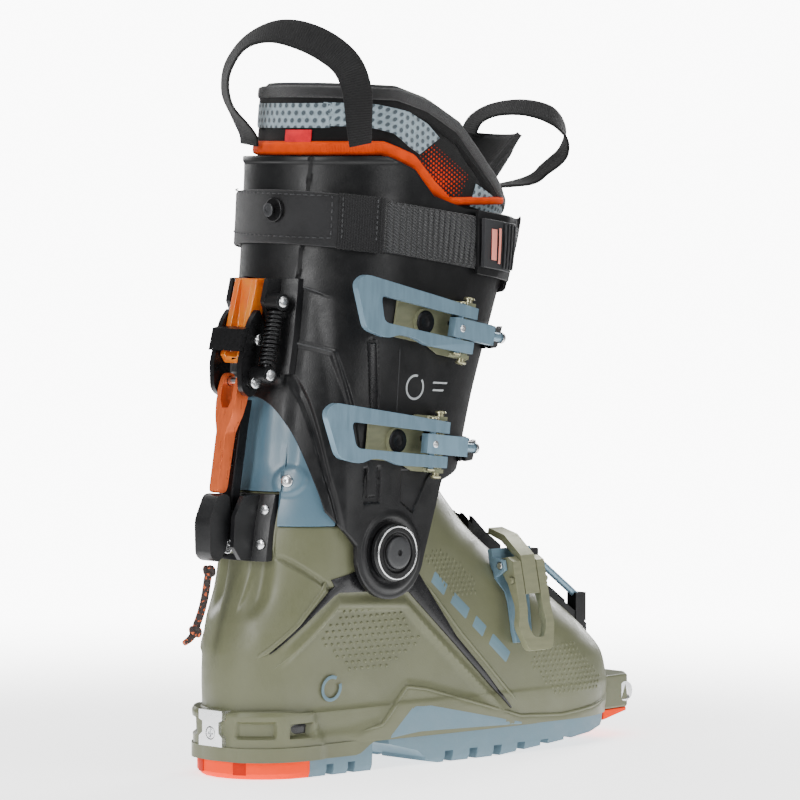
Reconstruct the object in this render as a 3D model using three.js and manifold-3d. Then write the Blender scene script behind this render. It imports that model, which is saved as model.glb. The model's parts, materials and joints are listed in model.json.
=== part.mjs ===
// Alpine touring boot, right foot: a stiff lower shell, a hinged cuff, a removable liner,
// a walk mechanism on the heel, two cuff buckles, an instep buckle and a power strap.
// Millimetres. +X to the toe, +Y to the inner (medial) side, +Z up.
// Inside this file X = 0 is the face of the heel insert. The exported group is moved so that the
// origin lies on the floor, in the middle of the flat heel.

import * as THREE from "three";
import { mergeVertices } from "three/addons/utils/BufferGeometryUtils.js";
import Module from "manifold-3d";

const wasm = await Module();
wasm.setup();

// ---------- driving dimensions ----------

const ORIGIN_X = 45; // from the heel insert's face to the part's origin
const GAP = 0.35; // between neighbouring pieces
const PIVOT = { x: 76, z: 117 }; // cuff pivot axis, along Y
const SHELL_WALL = 4.5;
const CUFF_WALL = 3.2;
const INSERT_WALL = 3;
const LINER_WALL = 7;
const SHELL_FLOOR = 16; // height of the shell's underside
const LEDGE_TOP = 36; // top of the binding ledges at heel and toe
const SHELL_RIM_REAR = 132;
const TOE_BEND = 5; // how far the toe leans to the inner side

// Each level of a skin: height, rear x, front x, half width at rear and front, cap lengths.
const SHELL_LEVELS = [
  [16, -7, 277, 34, 47, 34, 56],
  [34, -7.5, 277.5, 35, 49, 35, 56],
  [36, -3.5, 277, 34, 49, 35, 56],
  [48, -3.5, 274, 35, 49, 36, 58],
  [64, -3, 259, 36, 48, 38, 60],
  [80, 0.5, 238, 38.5, 45, 40, 62],
  [98, 8, 209, 41.5, 41, 42, 62],
  [112, 11.5, 186, 43.5, 39, 44, 58],
  [127, 13, 165, 44.2, 38, 45, 52],
  [150, 18.5, 143, 44.5, 37, 46, 48],
];
const CUFF_LEVELS = [
  [88, 8, 146, 49, 48, 45, 50],
  [136, 10, 150, 49, 47.5, 45, 50],
  [160, 15, 156, 49.5, 47.5, 46, 52],
  [196, 20, 166, 50.5, 49, 48, 56],
  [216, 24, 173, 51.5, 50, 50, 58],
  [245, 28.5, 184, 52.5, 51, 52, 60],
  [283, 32, 198, 53, 52, 53, 62],
  [328, 34.5, 208, 53, 52, 54, 64],
];
const LINER_LEVELS = [
  [136, 20.5, 148, 36.5, 30, 39, 46],
  [150, 25.5, 135, 35.5, 30, 39, 44],
  [165, 26, 143, 39.5, 34, 40, 46],
  [205, 31, 160, 41, 39, 42, 48],
  [222, 33, 166, 43, 42, 44, 50],
  [260, 36.5, 180, 46.5, 45, 46, 54],
  [300, 39, 193, 47.3, 46, 48, 56],
  [364, 45, 212, 47, 46, 48, 58],
];

// ---------- materials ----------

const finish = (color, roughness, metalness = 0) => ({ color, roughness, metalness });
const OLIVE = finish(0x84866f, 0.5);
const BLACK = finish(0x1c1d1f, 0.5);
const BLUE = finish(0x86a2b2, 0.45);
const ORANGE = finish(0xf0561f, 0.55);
const SALMON = finish(0xe08a5e, 0.4, 0.3);
const STEEL = finish(0xc9cccd, 0.3, 1);
const CLOTH = finish(0x18191b, 0.95);

// ---------- solids ----------

function solidOf(geometry) {
  const bare = geometry.index ? geometry.toNonIndexed() : geometry.clone();
  for (const name of Object.keys(bare.attributes)) if (name !== "position") bare.deleteAttribute(name);
  const merged = mergeVertices(bare, 1e-4);
  return new wasm.Manifold(
    new wasm.Mesh({
      numProp: 3,
      vertProperties: merged.attributes.position.array,
      triVerts: new Uint32Array(merged.index.array),
    }),
  );
}

function geometryOf(solid) {
  const mesh = solid.getMesh();
  const geometry = new THREE.BufferGeometry();
  geometry.setAttribute("position", new THREE.BufferAttribute(mesh.vertProperties, 3));
  geometry.setIndex(new THREE.BufferAttribute(mesh.triVerts, 1));
  return geometry;
}

const join = (...solids) => solids.reduce((sum, next) => sum.add(next));
const cut = (solid, ...tools) => tools.reduce((rest, tool) => rest.subtract(tool), solid);

function moved(solid, position, rotation = [0, 0, 0]) {
  const matrix = new THREE.Matrix4().compose(
    new THREE.Vector3(...position),
    new THREE.Quaternion().setFromEuler(new THREE.Euler(...rotation)),
    new THREE.Vector3(1, 1, 1),
  );
  return solidOf(geometryOf(solid).applyMatrix4(matrix));
}

// A box from its lowest to its highest corner.
function block([x0, y0, z0], [x1, y1, z1]) {
  const box = new THREE.BoxGeometry(x1 - x0, y1 - y0, z1 - z0);
  return solidOf(box.translate((x0 + x1) / 2, (y0 + y1) / 2, (z0 + z1) / 2));
}

// A cylinder from one point, along "x", "y" or "z".
function rod(axis, [x, y, z], radius, length, segments = 16) {
  const shape = new THREE.CylinderGeometry(radius, radius, length, segments).translate(0, length / 2, 0);
  if (axis === "x") shape.rotateZ(-Math.PI / 2);
  if (axis === "z") shape.rotateX(Math.PI / 2);
  return solidOf(shape.translate(x, y, z));
}

function extruded(points, depth) {
  const shape = points instanceof THREE.Shape
    ? points
    : new THREE.Shape(points.map((p) => new THREE.Vector2(...p)));
  return new THREE.ExtrudeGeometry(shape, { depth, bevelEnabled: false, curveSegments: 8 });
}

// An outline in X and Z, extruded from y0 to y1.
// An outline with its corners rounded, each by at most the given radius.
function rounded(points, radius) {
  const towards = ([x, y], [u, v], reach) => {
    const length = Math.hypot(u - x, v - y);
    const share = Math.min(reach / length, 0.45);
    return [x + (u - x) * share, y + (v - y) * share];
  };
  return points.flatMap((corner, i) => {
    const start = towards(corner, points.at(i - 1), radius);
    const end = towards(corner, points[(i + 1) % points.length], radius);
    const at = (t) => [0, 1].map((k) =>
      (1 - t) ** 2 * start[k] + 2 * t * (1 - t) * corner[k] + t * t * end[k]);
    return [start, at(1 / 3), at(2 / 3), end];
  });
}

function sidePlate(points, y0, y1) {
  return solidOf(extruded(points, y1 - y0).rotateX(Math.PI / 2).translate(0, y1, 0));
}

// An outline in X and Y, extruded from z0 to z1.
function floorPlate(points, z0, z1) {
  return solidOf(extruded(points, z1 - z0).translate(0, 0, z0));
}

// An outline in Y and Z, extruded from x0 to x1.
function rearPlate(points, x0, x1) {
  const geometry = extruded(points, x1 - x0).rotateX(Math.PI / 2).rotateZ(Math.PI / 2);
  return solidOf(geometry.translate(x0, 0, 0));
}

// A section of width (in the path's plane normal) and thickness swept along a path.
function swept(path, section, steps) {
  const shape = new THREE.Shape(section.map((p) => new THREE.Vector2(...p)));
  return solidOf(new THREE.ExtrudeGeometry(shape, { steps, bevelEnabled: false, extrudePath: path }));
}

function ringSection(radius, sides) {
  const corner = (i) => (2 * Math.PI * i) / sides;
  return Array.from({ length: sides }, (_, i) => [radius * Math.cos(corner(i)),
    radius * Math.sin(corner(i))]);
}

// ---------- skins of the foot and leg ----------

const smooth = (t) => {
  const s = Math.min(1, Math.max(0, t));
  return s * s * (3 - 2 * s);
};
const toeShift = (x) => TOE_BEND * smooth((x - 110) / 160);

// The level at height z, by a cubic through the levels on either side.
function levelAt(levels, z) {
  const last = levels.length - 1;
  const above = levels.findIndex((level) => level[0] > z);
  const i = above < 0 ? last - 1 : Math.max(0, above - 1);
  const [before, low, high, after] = [-1, 0, 1, 2].map((k) => levels[Math.min(last, Math.max(0, i + k))]);
  const span = high[0] - low[0];
  const t = Math.min(1, Math.max(0, (z - low[0]) / span));
  const slope = (a, b, c, k) => {
    const [s0, s1] = [(b[k] - a[k]) / (b[0] - a[0] || 1), (c[k] - b[k]) / (c[0] - b[0] || 1)];
    if (a === b) return s1;
    if (b === c) return s0;
    return s0 * s1 <= 0 ? 0 : (2 * s0 * s1) / (s0 + s1);
  };
  return low.map((value, k) => {
    if (k === 0) return z;
    const m0 = slope(before, low, high, k) * span;
    const m1 = slope(low, high, after, k) * span;
    const [t2, t3] = [t * t, t * t * t];
    return (2 * t3 - 3 * t2 + 1) * value + (t3 - 2 * t2 + t) * m0
      + (3 * t2 - 2 * t3) * high[k] + (t3 - t2) * m1;
  });
}

// The closed outline of a level, grown by offset: rear cap, side and front cap, then the other side.
const CAP_STEPS = 5;
const SIDE_STEPS = 3;
function outline([, rear, front, halfRear, halfFront, capRear, capFront], offset) {
  const [x0, x1] = [rear - offset, front + offset];
  const [a, b] = [capRear + offset, capFront + offset];
  const half = (x) => halfRear + (halfFront - halfRear) * smooth((x - x0) / (x1 - x0)) + offset;
  const side = [];
  const quarter = Math.PI / 2 / CAP_STEPS;
  for (let i = 0; i < CAP_STEPS; i++) {
    side.push([x0 + a * (1 - Math.cos(i * quarter)), Math.sin(i * quarter)]);
  }
  for (let i = 0; i < SIDE_STEPS; i++) side.push([x0 + a + ((x1 - b - x0 - a) * i) / SIDE_STEPS, 1]);
  for (let i = CAP_STEPS; i > 0; i--) {
    side.push([x1 - b * (1 - Math.cos(i * quarter)), Math.sin(i * quarter)]);
  }
  side.push([x1, 0]);
  const outer = side.map(([x, k]) => [x, toeShift(x) - k * half(x)]);
  const inner = side.slice(1, -1).map(([x, k]) => [x, toeShift(x) + k * half(x)]);
  return [...outer, ...inner.reverse()];
}

// A closed solid through the outlines at the given heights.
function loft(levels, offset, heights) {
  const rings = heights.map((z) => outline(levelAt(levels, z), offset).map(([x, y]) => [x, y, z]));
  const count = rings[0].length;
  const middle = (ring) => ring.reduce((sum, p) => sum.map((v, k) => v + p[k] / count), [0, 0, 0]);
  const corners = [...rings.flat(), middle(rings[0]), middle(rings[rings.length - 1])];
  const faces = [];
  rings.slice(1).forEach((_, j) => {
    for (let i = 0; i < count; i++) {
      const [a, b] = [j * count + i, j * count + ((i + 1) % count)];
      faces.push(a, b, b + count, a, b + count, a + count);
    }
  });
  const top = (rings.length - 1) * count;
  for (let i = 0; i < count; i++) {
    const next = (i + 1) % count;
    faces.push(rings.length * count, next, i, rings.length * count + 1, top + i, top + next);
  }
  return new wasm.Manifold(
    new wasm.Mesh({
      numProp: 3,
      vertProperties: new Float32Array(corners.flat()),
      triVerts: new Uint32Array(faces),
    }),
  );
}

const steps = (from, to, count) => Array.from({ length: count + 1 }, (_,
  i) => from + ((to - from) * i) / count);
const skin = (levels, outer, inner, heights) =>
  cut(loft(levels, outer, heights), loft(levels, inner, [heights[0] - 5, ...heights, heights.at(-1) + 5]));

// ---------- assembly ----------

const group = new THREE.Group();
group.position.x = -ORIGIN_X;

function add(name, solid, { color, roughness, metalness }) {
  const mesh = new THREE.Mesh(
    geometryOf(solid),
    new THREE.MeshStandardMaterial({ color, roughness, metalness }),
  );
  mesh.name = name;
  group.add(mesh);
}

const FAR = 200;
const across = (points) => sidePlate(points, -FAR, FAR);

// ---------- lower shell ----------

const SHELL_HEIGHTS = [SHELL_FLOOR, 34, 36, 48, 60, 72, 84, 96, 108, 120, 135, 150];
const SHELL_SIDE = [
  [-30, 10], [300, 10], [300, 60], [260, 120], [166, 130], [156, 128], [143, 142], [134, 150],
  [-30, 150],
];
const BRACKET_HALF = 20;
const [TECH_X, TECH_Z, TECH_R] = [281, 25, 5.6];
const TECH_Y = { "-1": -25.5, 1: 33.5 }; // where the toe block's sides are

function lowerShell() {
  const outer = loft(SHELL_LEVELS, 0, SHELL_HEIGHTS);
  const cavity = loft(SHELL_LEVELS, -SHELL_WALL, [SHELL_FLOOR + 4, 34, ...SHELL_HEIGHTS.slice(3), 160]);
  const toeBlock = floorPlate(
    [[262, -27], [283, -25], [290, -16], [290, 24], [283, 33], [262, 35]], SHELL_FLOOR, LEDGE_TOP - 1);
  const insertSeat = block([-12, -10.5, 14], [-1.6, 10.5, LEDGE_TOP + 0.5]);
  const rearRim = [-1, 1].map((side) =>
    block([-30, Math.min(side * (BRACKET_HALF + 1), side * FAR), SHELL_RIM_REAR],
      [46, Math.max(side * (BRACKET_HALF + 1), side * FAR), 160]));
  const tongueSlot = block([118, -9, 112], [180, 9, 160]);
  const toeCups = [-1, 1].map((side) => rod("y", [TECH_X, TECH_Y[side] - 8, TECH_Z], TECH_R + GAP, 16));
  const body = join(outer, toeBlock).intersect(across(SHELL_SIDE));
  return cut(body, cavity, insertSeat, tongueSlot, ...rearRim, ...toeCups);
}
add("lower_shell", lowerShell(), OLIVE);

// ---------- tech inserts ----------

function techCup(side) {
  const y = TECH_Y[side];
  const cup = rod("y", [TECH_X, Math.min(y, y - side * 6), TECH_Z], TECH_R, 6);
  const dimple = new THREE.ConeGeometry(3.6, 9, 12).rotateX((-side * Math.PI) / 2);
  return cut(cup, solidOf(dimple.translate(TECH_X, y, TECH_Z)));
}
add("toe_tech_insert_lateral", techCup(-1), STEEL);
add("toe_tech_insert_medial", techCup(1), STEEL);

function heelInsert() {
  const plate = rearPlate([[-9, 17], [9, 17], [9, 22], [6.5, 24], [6.5, 30], [9, 31], [9, 36],
    [-9, 36], [-9, 31], [-6.5, 30], [-6.5, 24], [-9, 22]], -9, -2.4);
  const pinSlots = [-1, 1].map((side) => block([-10, side * 7.9 - 1.6, 24], [-4, side * 7.9 + 1.6, 30]));
  const screwSeat = rod("x", [-10, 0, 24], 3.6, 5);
  return cut(plate, screwSeat, ...pinSlots);
}
add("heel_tech_insert", heelInsert(), STEEL);

function crossHeadScrew(axis, at, radius, length, way = -1) {
  const head = rod(axis, at, radius, length);
  const [x, y, z] = at;
  const tip = way < 0 ? 0 : length;
  const arm = radius * 0.6;
  const slot = axis === "x"
    ? [block([x + tip - 1, y - arm, z - 0.5], [x + tip + 1, y + arm, z + 0.5]),
       block([x + tip - 1, y - 0.5, z - arm], [x + tip + 1, y + 0.5, z + arm])]
    : [block([x - arm, y + tip - 1, z - 0.5], [x + arm, y + tip + 1, z + 0.5]),
       block([x - 0.5, y + tip - 1, z - arm], [x + 0.5, y + tip + 1, z + arm])];
  return cut(head, ...slot);
}
add("heel_insert_screw", crossHeadScrew("x", [-9, 0, 24], 3.2, 3.6), STEEL);

// ---------- sole ----------

const SOLE_TOP = SHELL_FLOOR - GAP;
const HEEL_SPLIT = 30;
const HEEL_END = 74;
const soleLevels = [
  [0, -4, 270, 33, 43, 33, 52],
  [3, -7, 276, 34, 45, 34, 54],
  [16, -7, 277, 34, 47, 34, 56],
];
const soleBlank = (offset) => loft(soleLevels, offset, [0, 3, SOLE_TOP]);
const lane = (x0, x1, y0 = -FAR, y1 = FAR) => block([x0, y0, -10], [x1, y1, 60]);

// Grooves between lugs, cut in from the side edge.
function lugGrooves(xs, width, side, depth) {
  const [y0, y1] = side > 0 ? [depth, 70] : [-70, -depth];
  return xs.map((x) => block([x, y0, -5], [x + width, y1, 6]));
}

add("heel_pad", soleBlank(0).intersect(lane(-20, HEEL_SPLIT)), ORANGE);

function heelLugs() {
  const body = soleBlank(-0.3).intersect(lane(HEEL_SPLIT + GAP, HEEL_END));
  const grooves = [-1, 1].flatMap((side) => lugGrooves([42, 57], 5, side, 22));
  return cut(body, ...grooves);
}
add("heel_lugs", heelLugs(), BLUE);

const ROCKER = [
  [94, 30], [94, 12], [104, 3], [122, 0], [168, 0], [200, 3], [242, 7], [262, 10], [300, 17], [300, 30],
];
const ARCH_SIDE = [[84, 20], [86, 13], [106, 8], [113, 3], [113, 20]]; // fills the waist behind the lugs
function forefootLugs() {
  const body = soleBlank(-0.3).intersect(lane(112, 262)).intersect(across(ROCKER));
  const grooves = [-1, 1].flatMap((side) => lugGrooves([126, 144, 162, 180, 198, 216, 234], 6, side, 27));
  const channel = block([112, -4, -5], [250, 10, 4]);
  const archWedge = soleBlank(-0.3).intersect(lane(84, 113)).intersect(across(ARCH_SIDE));
  return join(cut(body, channel, ...grooves), archWedge);
}
add("forefoot_lugs", forefootLugs(), BLUE);

function toePad() {
  const front = join(soleBlank(-0.3), floorPlate(
    [[262, -26], [283, -24], [290, -15], [290, 23], [283, 32], [262, 34]], 0, SOLE_TOP));
  return front.intersect(lane(262 + GAP, 300)).intersect(across(ROCKER));
}
add("toe_pad", toePad(), ORANGE);

// ---------- inside the shell ----------

const bootboard = loft(SHELL_LEVELS, -SHELL_WALL - 1, [SHELL_FLOOR + 4 + GAP, 23.4]);
add("bootboard", bootboard, finish(0x3a3c3e, 0.9));

const FOOT_HEIGHTS = [24, 34, 36, 48, 60, 72, 84, 96, 108, 120, 136];
const FOOT_OUTER = -SHELL_WALL - 1.3;
const above136 = block([-FAR, -FAR, 136 - GAP], [FAR * 2, FAR, 400]);
function linerFoot() {
  const body = loft(SHELL_LEVELS, FOOT_OUTER, FOOT_HEIGHTS);
  const throat = block([118, -12, 106], [220, 12, 160]);
  const cavity = loft(SHELL_LEVELS, FOOT_OUTER - LINER_WALL, [30, ...FOOT_HEIGHTS.slice(1), 145]);
  return cut(body, cavity, throat, above136);
}
add("liner_foot", linerFoot(), CLOTH);

const ANKLE_HEIGHTS = [136, 150, 168, 186, 204];
add("liner_ankle", skin(LINER_LEVELS, 0, -LINER_WALL, ANKLE_HEIGHTS), CLOTH);

// ---------- rear of the ankle ----------

const INSERT_SIDE = [
  [-20, SHELL_RIM_REAR + GAP], [45.5, SHELL_RIM_REAR + GAP], [45.5, 152], [62, 156], [62, 222], [-20, 222],
];
function anklePanel() {
  const body = skin(CUFF_LEVELS, -CUFF_WALL - 1, -CUFF_WALL - 1 - INSERT_WALL, [128, 142, 158, 174, 190,
    206, 222]);
  const middle = block([-20, -BRACKET_HALF - 1.4, 120], [62, BRACKET_HALF + 1.4, 150 + GAP]);
  return cut(body.intersect(across(INSERT_SIDE)), middle);
}
add("achilles_panel", anklePanel(), BLUE);

function bracket() {
  const plate = skin(SHELL_LEVELS, 4, GAP, [108, 120, 135, 150])
    .intersect(block([-20, -BRACKET_HALF, 114], [40, BRACKET_HALF, 149]));
  const ears = [-12, 9].map((y) => sidePlate(
    [[13, 115], [2, 115], [-3, 122], [-2, 138], [4, 148.5], [17, 148.5]], y, y + 3));
  return join(plate, ...ears);
}
const bracketSeat = loft(SHELL_LEVELS, GAP, [108, 120, 135, 150]);
add("heel_bracket", cut(bracket(), bracketSeat), BLACK);

add("bracket_screw", crossHeadScrew("x", [-1, -4.5, 122], 4, 5), STEEL);
for (const [name, side] of [["lateral", -1], ["medial", 1]]) {
  add(`panel_rivet_${name}`, rod("x", [10.5, side * 24.5, 156], 3.4, 2.2, 12), STEEL);
}

// ---------- cuff ----------

const CUFF_HEIGHTS = [88, 112, 136, 160, 184, 208, 232, 258, 284, 306, 328];
const ARM_RADIUS = 25;
const CAP_RADIUS = 15.5;
const STUD_RADIUS = 8;
const armArc = steps(-10, -190, 9).map((degrees) => {
  const turn = THREE.MathUtils.degToRad(degrees);
  return [PIVOT.x + ARM_RADIUS * Math.cos(turn), PIVOT.z + ARM_RADIUS * Math.sin(turn)];
});
const CUFF_TOP = [[240, 286], [128, 298], [104, 305], [90, 319], [72, 326], [10, 326]];
const CUFF_SIDE = [
  [10, 206], [20, 203], [34, 140], ...[...armArc].reverse(), [116, 153], [136, 157], [150, 169],
  [178, 192], [240, 198], ...CUFF_TOP,
];
function cuffShell() {
  const body = skin(CUFF_LEVELS, 0, -CUFF_WALL, CUFF_HEIGHTS).intersect(across(CUFF_SIDE));
  const pivotHoles = rod("y", [PIVOT.x, -FAR, PIVOT.z], STUD_RADIUS + GAP, 2 * FAR);
  const frontOverlap = block([130, 12, 140], [260, 15, 330]);
  return cut(body, pivotHoles, frontOverlap);
}
add("cuff", cuffShell(), BLACK);

const CUFF_FACE = 49.1;
function pivotCap(side) {
  const profile = [[0, 0], [CAP_RADIUS, 0], [CAP_RADIUS, 2.6], [13.6, 4.4], [11, 4.4], [10.2, 3.2], [8.8,
    3.2], [8.2, 5.2], [0, 5.2]];
  const cap = new THREE.LatheGeometry(profile.map((p) => new THREE.Vector2(...p)), 28);
  if (side < 0) cap.rotateX(Math.PI);
  return solidOf(cap.translate(PIVOT.x, side * (CUFF_FACE + GAP), PIVOT.z));
}
for (const [name, side] of [["lateral", -1], ["medial", 1]]) {
  const from = side < 0 ? -CUFF_FACE : CUFF_FACE - 6;
  add(`pivot_stud_${name}`, rod("y", [PIVOT.x, from, PIVOT.z], STUD_RADIUS, 6, 20), STEEL);
  add(`pivot_cap_${name}`, pivotCap(side), BLACK);
}

// ---------- liner, leg part ----------

const LEG_HEIGHTS = [205, 222, 250, 280, 300, 320, 342, 364];
const COLLAR_SIDE = [
  [0, 205 + GAP], [200, 205 + GAP], [240, 260], [240, 288], [190, 298], [172, 305], [150, 322], [128,
    344], [106, 355],
  [84, 361], [40, 363], [0, 363],
];
add("liner_leg", skin(LINER_LEVELS, 0, -LINER_WALL, LEG_HEIGHTS).intersect(across(COLLAR_SIDE)), CLOTH);

const TONGUE_LEVELS = [
  [205, 40, 151, 32, 31, 40, 42],
  [260, 44, 171, 37, 36.5, 44, 48],
  [300, 48, 184, 38, 36, 46, 52],
  [320, 60, 201, 38, 35, 46, 54],
  [340, 80, 221, 38, 33, 46, 56],
];
const TONGUE_WALL = 5.5;
const TONGUE_SIDE = [[134, 212], [240, 212], [240, 322], [222, 335], [206, 337], [186, 326], [150, 306],
  [128, 270]];
function tongue() {
  const body = skin(TONGUE_LEVELS, 0, -TONGUE_WALL, [205, 230, 260, 285, 300, 312, 326, 340]);
  return body.intersect(across(TONGUE_SIDE));
}
add("liner_tongue", tongue(), CLOTH);

const PIPING_SIDE = [
  [10, 326.5], [72.5, 326.5], [91, 319.6], [105, 305.8], [118, 299.6], [120, 304], [109, 313], [94, 327],
    [74, 334], [10, 334],
];
add("liner_piping", skin(LINER_LEVELS, 2.2, GAP, [296, 310, 320, 328,
  336]).intersect(across(PIPING_SIDE)), ORANGE);

// A strip of webbing through the given points; each point has the direction of the strip's width.
function webbing(points, width, thickness) {
  const rings = points.map(({ at, across: side }, i) => {
    const [before, after] = [points[Math.max(0, i - 1)].at, points[Math.min(points.length - 1, i + 1)].at];
    const along = new THREE.Vector3(...after).sub(new THREE.Vector3(...before)).normalize();
    const wide = new THREE.Vector3(...side).addScaledVector(along,
      -along.dot(new THREE.Vector3(...side))).normalize();
    const out = new THREE.Vector3().crossVectors(along, wide);
    return [[-1, -1], [1, -1], [1, 1], [-1, 1]].map(([u, v]) =>
      new THREE.Vector3(...at).addScaledVector(wide, (u * width) / 2).addScaledVector(out,
        (v * thickness) / 2));
  });
  const corners = rings.flat().flatMap((p) => p.toArray());
  const faces = [0, 2, 1, 0, 3, 2];
  for (let j = 0; j < rings.length - 1; j++) {
    for (let i = 0; i < 4; i++) {
      const [a, b] = [4 * j + i, 4 * j + ((i + 1) % 4)];
      faces.push(a, b, b + 4, a, b + 4, a + 4);
    }
  }
  const end = 4 * (rings.length - 1);
  faces.push(end, end + 1, end + 2, end, end + 2, end + 3);
  return new wasm.Manifold(new wasm.Mesh({
    numProp: 3, vertProperties: new Float32Array(corners), triVerts: new Uint32Array(faces),
  }));
}

const REAR_LOOP = [
  { at: [52, -49.6, 339], across: [1, 0.1, 0] }, { at: [51, -50.2, 350], across: [1, -0.05, 0] },
  { at: [50, -49.5, 362], across: [1, -0.3, 0.15] }, { at: [47, -43, 376], across: [0.6, -0.3, 0.45] },
  { at: [38, -29, 387], across: [0.5, 0, 0.6] }, { at: [28, -12, 391.5], across: [0.7, 0.4, 0.55] },
  { at: [20, 3, 386], across: [0.4, 0.9, 0.5] }, { at: [15, 12, 372], across: [0.2, 1, 0.2] },
  { at: [19, 17, 357], across: [0.2, 1, 0] }, { at: [31, 20, 345], across: [0.2, 1, 0] },
  { at: [37.5, 21, 337.5], across: [0.2, 1, 0] },
];
add("rear_pull_loop", webbing(REAR_LOOP, 17, 1.6), CLOTH);

const FRONT_LOOP = [
  { at: [201, 20, 339.5], across: [0.2, 0.9, 0.3] }, { at: [206, 18, 346], across: [0.3, 0.8, 0.3] },
  { at: [216, 13, 351], across: [0.35, 0.65, 0.5] }, { at: [231, 5, 352], across: [0.4, 0.5, 0.75] },
  { at: [245, -2, 347.5], across: [0.5, 0.7, 0.4] }, { at: [252, -5, 338], across: [0.3, 1, 0] },
  { at: [250, -5, 327], across: [0.1, 1, 0] }, { at: [240, -2, 318], across: [0.1, 1, 0] },
  { at: [226, 2, 311], across: [0, 1, 0] }, { at: [206, 4, 306], across: [0, 1, 0] },
];
add("front_pull_loop", webbing(FRONT_LOOP, 14, 1.6), CLOTH);

// ---------- power strap ----------

const STRAP_THICK = 2.6;
const STRAP_OUT = GAP + STRAP_THICK;
const strapLine = (x) => 312 - 0.135 * x; // height of the strap's upper edge
const strapBand = (x0, x1, drop0, drop1) =>
  across([[x0, strapLine(x0) - drop0], [x1, strapLine(x1) - drop0], [x1, strapLine(x1) - drop1], [x0,
    strapLine(x0) - drop1]]);
const STRAP_HEIGHTS = CUFF_HEIGHTS.slice(6);
const strap = skin(CUFF_LEVELS, STRAP_OUT, GAP, STRAP_HEIGHTS).intersect(strapBand(-20, 240, 0, 27));
const strapEnd = block([150, 18, 230], [260, 22, 330]);
add("power_strap", cut(strap, strapEnd), CLOTH);

add("strap_rivet", rod("x", [27.6, -9, 298], 6.5, 2.6, 20), finish(0x26272a, 0.3, 0.4));

const lateralSide = block([-50, -FAR, 0], [300, -10, 400]);
function strapBuckleFrame() {
  const plate = skin(CUFF_LEVELS, STRAP_OUT + 2.6, STRAP_OUT + GAP, STRAP_HEIGHTS);
  const body = plate.intersect(strapBand(132, 172, -3, 31)).intersect(lateralSide);
  return cut(body, strapBand(140, 162, 3, 25).intersect(block([0, -80, 0], [300, -10, 400])));
}
add("strap_buckle_frame", strapBuckleFrame(), BLACK);
const FLAP_FROM = STRAP_OUT + 2.6 + GAP;
function strapBuckleFlap() {
  const plate = skin(CUFF_LEVELS, FLAP_FROM + 2.8, FLAP_FROM, STRAP_HEIGHTS);
  return plate.intersect(strapBand(134, 163, 1, 27)).intersect(lateralSide);
}
add("strap_buckle_flap", strapBuckleFlap(), finish(0x4b4c4d, 0.5));

// ---------- walk mechanism on the back of the cuff ----------

const LEVER_PIN = { x: 10, z: 208 };
const PIN_RADIUS = 2.5;
const FORK_RIVET = { x: 13.2, z: 230 };
const rivetHole = rod("y", [FORK_RIVET.x, -30, FORK_RIVET.z], 2.4 + GAP, 60, 12);
const pinHole = rod("y", [LEVER_PIN.x, -30, LEVER_PIN.z], PIN_RADIUS + GAP, 60, 14);

const SPRING_TOP = [21, -20, 250];
const SPRING_FOOT = [12, -20, 212];
function springSeat(at) {
  return rod("y", [at[0], at[1] - 4, at[2]], 4.6, 12, 14);
}
const springEnd = (t) => SPRING_TOP.map((v, k) => v + (SPRING_FOOT[k] - v) * t);

// A rod or tube between two points.
function between(from, to, outer, inner = 0) {
  const [a, b] = [new THREE.Vector3(...from), new THREE.Vector3(...to)];
  const length = a.distanceTo(b);
  const profile = inner
    ? [[inner, 0], [outer, 0], [outer, length], [inner, length], [inner, 0]]
    : [[0, 0], [outer, 0], [outer, length], [0, length]];
  const shape = new THREE.LatheGeometry(profile.map((p) => new THREE.Vector2(...p)), 14);
  const turn = new THREE.Quaternion().setFromUnitVectors(new THREE.Vector3(0, 1, 0), b.sub(a).normalize());
  return solidOf(shape.applyQuaternion(turn).translate(...from));
}

function walkTower() {
  const base = skin(CUFF_LEVELS, 4, GAP, CUFF_HEIGHTS.slice(4, 9)).intersect(block([0, -24, 212], [45,
    17, 262]));
  const ears = [-15, 12].map((y) => sidePlate([[30, 262], [19, 262], [16, 250], [21, 238], [30, 238]], y,
    y + 3));
  const seat = loft(CUFF_LEVELS, GAP, CUFF_HEIGHTS.slice(4, 9));
  return cut(join(base, ...ears, springSeat(SPRING_TOP)), seat);
}
add("walk_tower", walkTower(), BLACK);

function orangeYoke() {
  const arms = sidePlate([[24, 262], [17, 262], [6, 222], [9, 217.5], [15, 221], [19, 236], [21.5, 246]],
    -8.5, 8.5);
  const slot = sidePlate([[0, 270], [18, 270], [18, 256], [13, 226], [0, 216]], -4.5, 4.5);
  return cut(arms, slot, rivetHole);
}
add("walk_orange_yoke", orangeYoke(), ORANGE);

function walkFork() {
  const arm = rounded([[15, 247], [9, 240], [2, 218], [2.5, 204], [8, 199.5], [14, 203], [13.5, 216],
    [19, 237]], 3);
  const arms = [-12.5, 9].map((y) => sidePlate(arm, y, y + 3.5));
  const bridge = sidePlate([[8.6, 237], [4, 236], [1, 224.5], [5.2, 224.5]], -12, 12);
  const springRod = between(springEnd(0.14), SPRING_FOOT, 2.1);
  return cut(join(...arms, bridge, springSeat(SPRING_FOOT), springRod), pinHole, rivetHole);
}
add("walk_fork", walkFork(), BLACK);
add("walk_lever_pin", rod("y", [LEVER_PIN.x, -15, LEVER_PIN.z], PIN_RADIUS, 30, 14), STEEL);
add("walk_fork_rivet", rod("y", [FORK_RIVET.x, -14.5, FORK_RIVET.z], 2.4, 29, 12), STEEL);

add("walk_spring", between(springEnd(0.13), springEnd(0.87), 4.4, 2.6), BLACK);

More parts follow.
